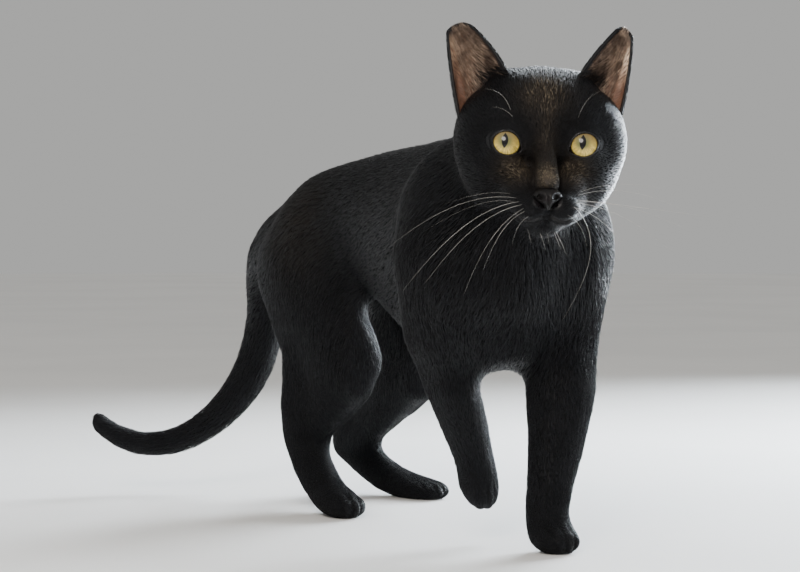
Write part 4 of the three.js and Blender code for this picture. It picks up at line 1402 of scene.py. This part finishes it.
def iris_finish(settings):
    """A gold iris with fine spokes round a tall slit, a dark rim, and the gloss of a wet eye. Its lower part
    is brightened by painted light and its top darkened by the upper lid's painted shadow.
    """
    finish = Finish("iris_gloss")
    gaze = finish.split("gaze")
    x, y = finish.multiply(gaze[0], 1000.0), finish.multiply(gaze[1], 1000.0)
    square = finish.add(finish.multiply(x, x), finish.multiply(y, y))
    radius = finish.maths("SQRT", finish.add(square, 0.0001))
    around = [finish.maths("DIVIDE", finish.multiply(value, 9.0), radius) for value in (x, y)]
    spokes = finish.noise(finish.vector(*around, finish.multiply(radius, 0.35)), 1.0, 4.0, 0.65)
    mottle = finish.noise(finish.place(), 700.0, 3.0)
    # Brighter gold towards the bottom: painted light scattered into the lower iris.
    gold = finish.blend(finish.mapped(y, 1.5, -4.5), settings.gold, (0.88, 0.68, 0.17))
    gold = finish.blend(finish.mapped(spokes, 0.35, 0.70, 0.0, 0.75), gold, (0.24, 0.15, 0.025))
    ring = finish.add(radius, finish.multiply(spokes, 1.2))
    colour = finish.blend(finish.mapped(ring, 5.6, 2.6), gold, settings.olive)
    colour = finish.blend(finish.mapped(mottle, 0.45, 0.75, 0.0, 0.3), colour, (0.24, 0.20, 0.05))
    # Darker towards the top: the upper lid's painted shadow.
    colour = finish.blend(finish.mapped(y, -1.0, 4.8, 0.0, 0.85), colour, (0.17, 0.125, 0.060))
    colour = finish.blend(finish.mapped(finish.attribute("edge"), 0.86, 1.02), colour, (0.008, 0.006, 0.005))
    high = settings.pupil_height / 2 / MM
    tall = finish.maths("DIVIDE", y, high)
    wide = finish.multiply(finish.subtract(1.0, finish.multiply(tall, tall)), settings.pupil_width / 2 / MM)
    across = finish.subtract(x, finish.multiply(y, 0.07))
    inside = finish.subtract(wide, finish.maths("ABSOLUTE", across))
    colour = finish.blend(finish.mapped(inside, -0.12, 0.12), colour, (0.002, 0.002, 0.002))
    rough = finish.mapped(spokes, 0.2, 0.8, 0.30, 0.42)
    return finish.set(
        Base_Color=colour, Roughness=rough, Specular_IOR_Level=0.1, Coat_Weight=1.0, Coat_Roughness=0.04,
        Coat_IOR=1.38,
    )


def leather_finish():
    """Black, pebbled and slightly moist leather, with painted shade in the nostrils and the slits beside
    them.
    """
    finish = Finish("nose_skin")
    place = finish.place()
    pebbles = finish.node("ShaderNodeTexVoronoi", {"Vector": place, "Scale": 1500.0}).outputs["Distance"]
    broad = finish.noise(place, 250.0)
    colour = finish.blend(finish.mapped(broad, 0.3, 0.7), (0.003, 0.003, 0.003), (0.007, 0.005, 0.006))
    # Painted shade in the nostrils and slits.
    colour = finish.blend(finish.attribute("pit"), colour, (0.002, 0.0015, 0.0015))
    finish.bumped(pebbles, 0.0003, 0.5)
    rough = finish.mapped(broad, 0.3, 0.7, 0.36, 0.5)
    return finish.set(Base_Color=colour, Roughness=rough, Specular_IOR_Level=0.25)


def whisker_finish():
    """Off-white and smooth, a little darker in places."""
    finish = Finish("whisker_horn")
    shade = finish.noise(finish.place(), 80.0)
    colour = finish.blend(finish.mapped(shade, 0.3, 0.7), (0.54, 0.52, 0.49), (0.34, 0.33, 0.30))
    rough = finish.mapped(shade, 0.3, 0.7, 0.30, 0.45)
    return finish.set(Base_Color=colour, Roughness=rough)


def floor_finish(colour):
    """Matt paper with a faint cloud and grain."""
    finish = Finish("floor_paper")
    place = finish.place()
    cloud = finish.noise(place, 3.0)
    grain = finish.noise(place, 600.0)
    darker = tuple(channel * 0.95 for channel in colour)
    base = finish.blend(finish.mapped(cloud, 0.3, 0.7), colour, darker)
    finish.bumped(grain, 0.0002, 0.2)
    return finish.set(Base_Color=base, Roughness=finish.mapped(grain, 0.3, 0.7, 0.75, 0.85))


# ---------------------------------------------------------------- operators

SHARED = {}  # what one operator leaves for the next


class CAT_OT_skin(bpy.types.Operator):
    """Build the one skin that stands for the flesh"""

    bl_idname = "cat.skin"
    bl_label = "Skin"

    def execute(self, context):
        mesh, flesh = make_skin(context.scene.cat_skin)
        # The skin's share of brown, partly the coat's own brown and partly painted sheen.
        write_numbers(mesh, "brown_and_sheen", brown_and_sheen(places_of(mesh)))
        write_numbers(mesh, "bare", bareness(places_of(mesh)))
        skin = finished("skin", mesh, skin_finish(context.scene.cat_coat))
        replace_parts(skin, *COVERED)
        SHARED["flesh"] = flesh
        return {"FINISHED"}


class CAT_OT_eyes(bpy.types.Operator):
    """Build the two eyeballs"""

    bl_idname = "cat.eyes"
    bl_label = "Eyes"

    def execute(self, context):
        finish = iris_finish(context.scene.cat_eyes)
        for node in EYES:
            mesh = make_eyeball(node, context.scene.cat_eyes)
            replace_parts(finished(mesh.name, mesh, finish), node)
        return {"FINISHED"}


class CAT_OT_nose(bpy.types.Operator):
    """Build the leather of the nose"""

    bl_idname = "cat.nose"
    bl_label = "Nose"

    def execute(self, context):
        mesh, pits = make_nose()
        # The nostrils' depth, which the leather's finish paints as shade.
        write_numbers(mesh, "pit", pits)
        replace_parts(finished("nose_pad", mesh, leather_finish()), "nose")
        return {"FINISHED"}


class CAT_OT_ears(bpy.types.Operator):
    """Build the ears and the hair on them"""

    bl_idname = "cat.ears"
    bl_label = "Ears"

    def execute(self, context):
        coat = context.scene.cat_coat
        finish, hair = ear_finish(context.scene.cat_ears, coat), coat_finish(coat, "ear_hair")
        fine = fringe_finish()
        for side, node in ((1, "ear_left"), (-1, "ear_right")):
            name, mesh = make_ear(side, context.scene.cat_ears)
            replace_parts(finished(name, mesh, finish), node)
            tree, _ = tree_of(mesh)
            for kind, look, hairs in zip(("coat", "fringe"), (hair, fine), ear_hair(side, coat.seed)):
                *growth, tone, tint = hairs
                locks = Locks(*growth, coat.seed)
                made = lock_mesh(f"{kind}_{node}", locks, tree, unwrapped_round(locks.roots), tone, tint)
                finished(made.name, made, look)
        return {"FINISHED"}


class CAT_OT_coat(bpy.types.Operator):
    """Cover the skin with locks of hair"""

    bl_idname = "cat.coat"
    bl_label = "Coat"

    def execute(self, context):
        coat = context.scene.cat_coat
        finish = coat_finish(coat)
        for name, mesh in make_coat(bpy.data.objects["skin"], SHARED["flesh"], coat).items():
            finished(name, mesh, finish)
        return {"FINISHED"}


class CAT_OT_whiskers(bpy.types.Operator):
    """Build the whiskers"""

    bl_idname = "cat.whiskers"
    bl_label = "Whiskers"

    def execute(self, context):
        mesh = make_whiskers(bpy.data.objects["skin"], context.scene.cat_whiskers)
        finished("whiskers", mesh, whisker_finish())
        return {"FINISHED"}


class CAT_OT_stage(bpy.types.Operator):
    """Set the floor, the lights and the camera"""

    bl_idname = "cat.stage"
    bl_label = "Stage"

    def execute(self, context):
        scene, stage = context.scene, context.scene.cat_stage
        bm = bmesh.new()
        bmesh.ops.create_circle(bm, cap_ends=True, radius=6, segments=64)
        floor = new_object("floor", mesh_from(bm, "floor"))
        floor.data.materials.append(floor_finish(stage.floor))

        world = bpy.data.worlds.new("pale_room")
        world.use_nodes = True
        back = world.node_tree.nodes["Background"]
        back.inputs["Color"].default_value = (0.92, 0.92, 0.90, 1)
        back.inputs["Strength"].default_value = 0.5
        scene.world = world

        def soft_light(name, place, target, size, power, colour):
            lamp = bpy.data.lights.new(name, "SPOT")
            lamp.spot_size, lamp.spot_blend, lamp.shadow_soft_size = math.radians(80), 0.7, size / 2
            lamp.energy, lamp.color = power, colour
            obj = bpy.data.objects.new(name, lamp)
            scene.collection.objects.link(obj)
            obj.location = place
            obj.rotation_euler = (Vector(target) - Vector(place)).to_track_quat("-Z", "Y").to_euler()

        middle = (0.0, -0.05, 0.15)
        soft_light("window", (1.36, 0.62, 0.28), middle, 0.9, stage.window, (0.84, 0.92, 1.0))
        soft_light("side", (1.29, -0.40, 0.10), (0.02, -0.14, 0.06), 0.5, 36.0, (0.82, 0.91, 1.0))
        soft_light("sky", (1.00, 0.80, 0.95), middle, 0.7, 96.0, (0.86, 0.93, 1.0))
        soft_light("lamp", (-1.05, -1.20, 1.10), middle, 0.8, 104.0, (1.0, 0.93, 0.85))
        sun = bpy.data.lights.new("overhead", "SUN")
        sun.energy, sun.angle = 0.37, math.radians(120)
        scene.collection.objects.link(bpy.data.objects.new("overhead", sun))

        camera = bpy.data.objects.new("camera", bpy.data.cameras.new("camera"))
        camera.data.lens, camera.data.sensor_width = 111.15, 36
        camera.location = (-0.6603, -1.2632, 0.179)
        camera.rotation_euler = (math.radians(88.31), 0, math.radians(-28))
        scene.collection.objects.link(camera)
        scene.camera = camera
        return {"FINISHED"}


class CAT_PT_panel(bpy.types.Panel):
    bl_idname = "CAT_PT_panel"
    bl_label = "Walking cat"
    bl_space_type = "VIEW_3D"
    bl_region_type = "UI"
    bl_category = "Cat"

    def draw(self, context):
        for settings in SETTINGS.values():
            box = self.layout.box()
            group = getattr(context.scene, settings)
            for key in group.bl_rna.properties.keys():
                if key not in ("rna_type", "name"):
                    box.prop(group, key)
        for operator in OPERATORS:
            self.layout.operator(operator.bl_idname)


SETTINGS = {
    SkinSettings: "cat_skin",
    CoatSettings: "cat_coat",
    EyeSettings: "cat_eyes",
    EarSettings: "cat_ears",
    WhiskerSettings: "cat_whiskers",
    StageSettings: "cat_stage",
}
OPERATORS = [CAT_OT_stage, CAT_OT_skin, CAT_OT_eyes, CAT_OT_nose, CAT_OT_ears, CAT_OT_coat, CAT_OT_whiskers]


def register():
    for settings, name in SETTINGS.items():
        bpy.utils.register_class(settings)
        setattr(bpy.types.Scene, name, PointerProperty(type=settings))
    for kind in [*OPERATORS, CAT_PT_panel]:
        bpy.utils.register_class(kind)


def unregister():
    for kind in [CAT_PT_panel, *reversed(OPERATORS)]:
        bpy.utils.unregister_class(kind)
    for settings, name in reversed(SETTINGS.items()):
        delattr(bpy.types.Scene, name)
        bpy.utils.unregister_class(settings)


def main():
    register()
    for operator in OPERATORS:
        group, name = operator.bl_idname.split(".")
        getattr(getattr(bpy.ops, group), name)()


if __name__ == "__main__":
    main()
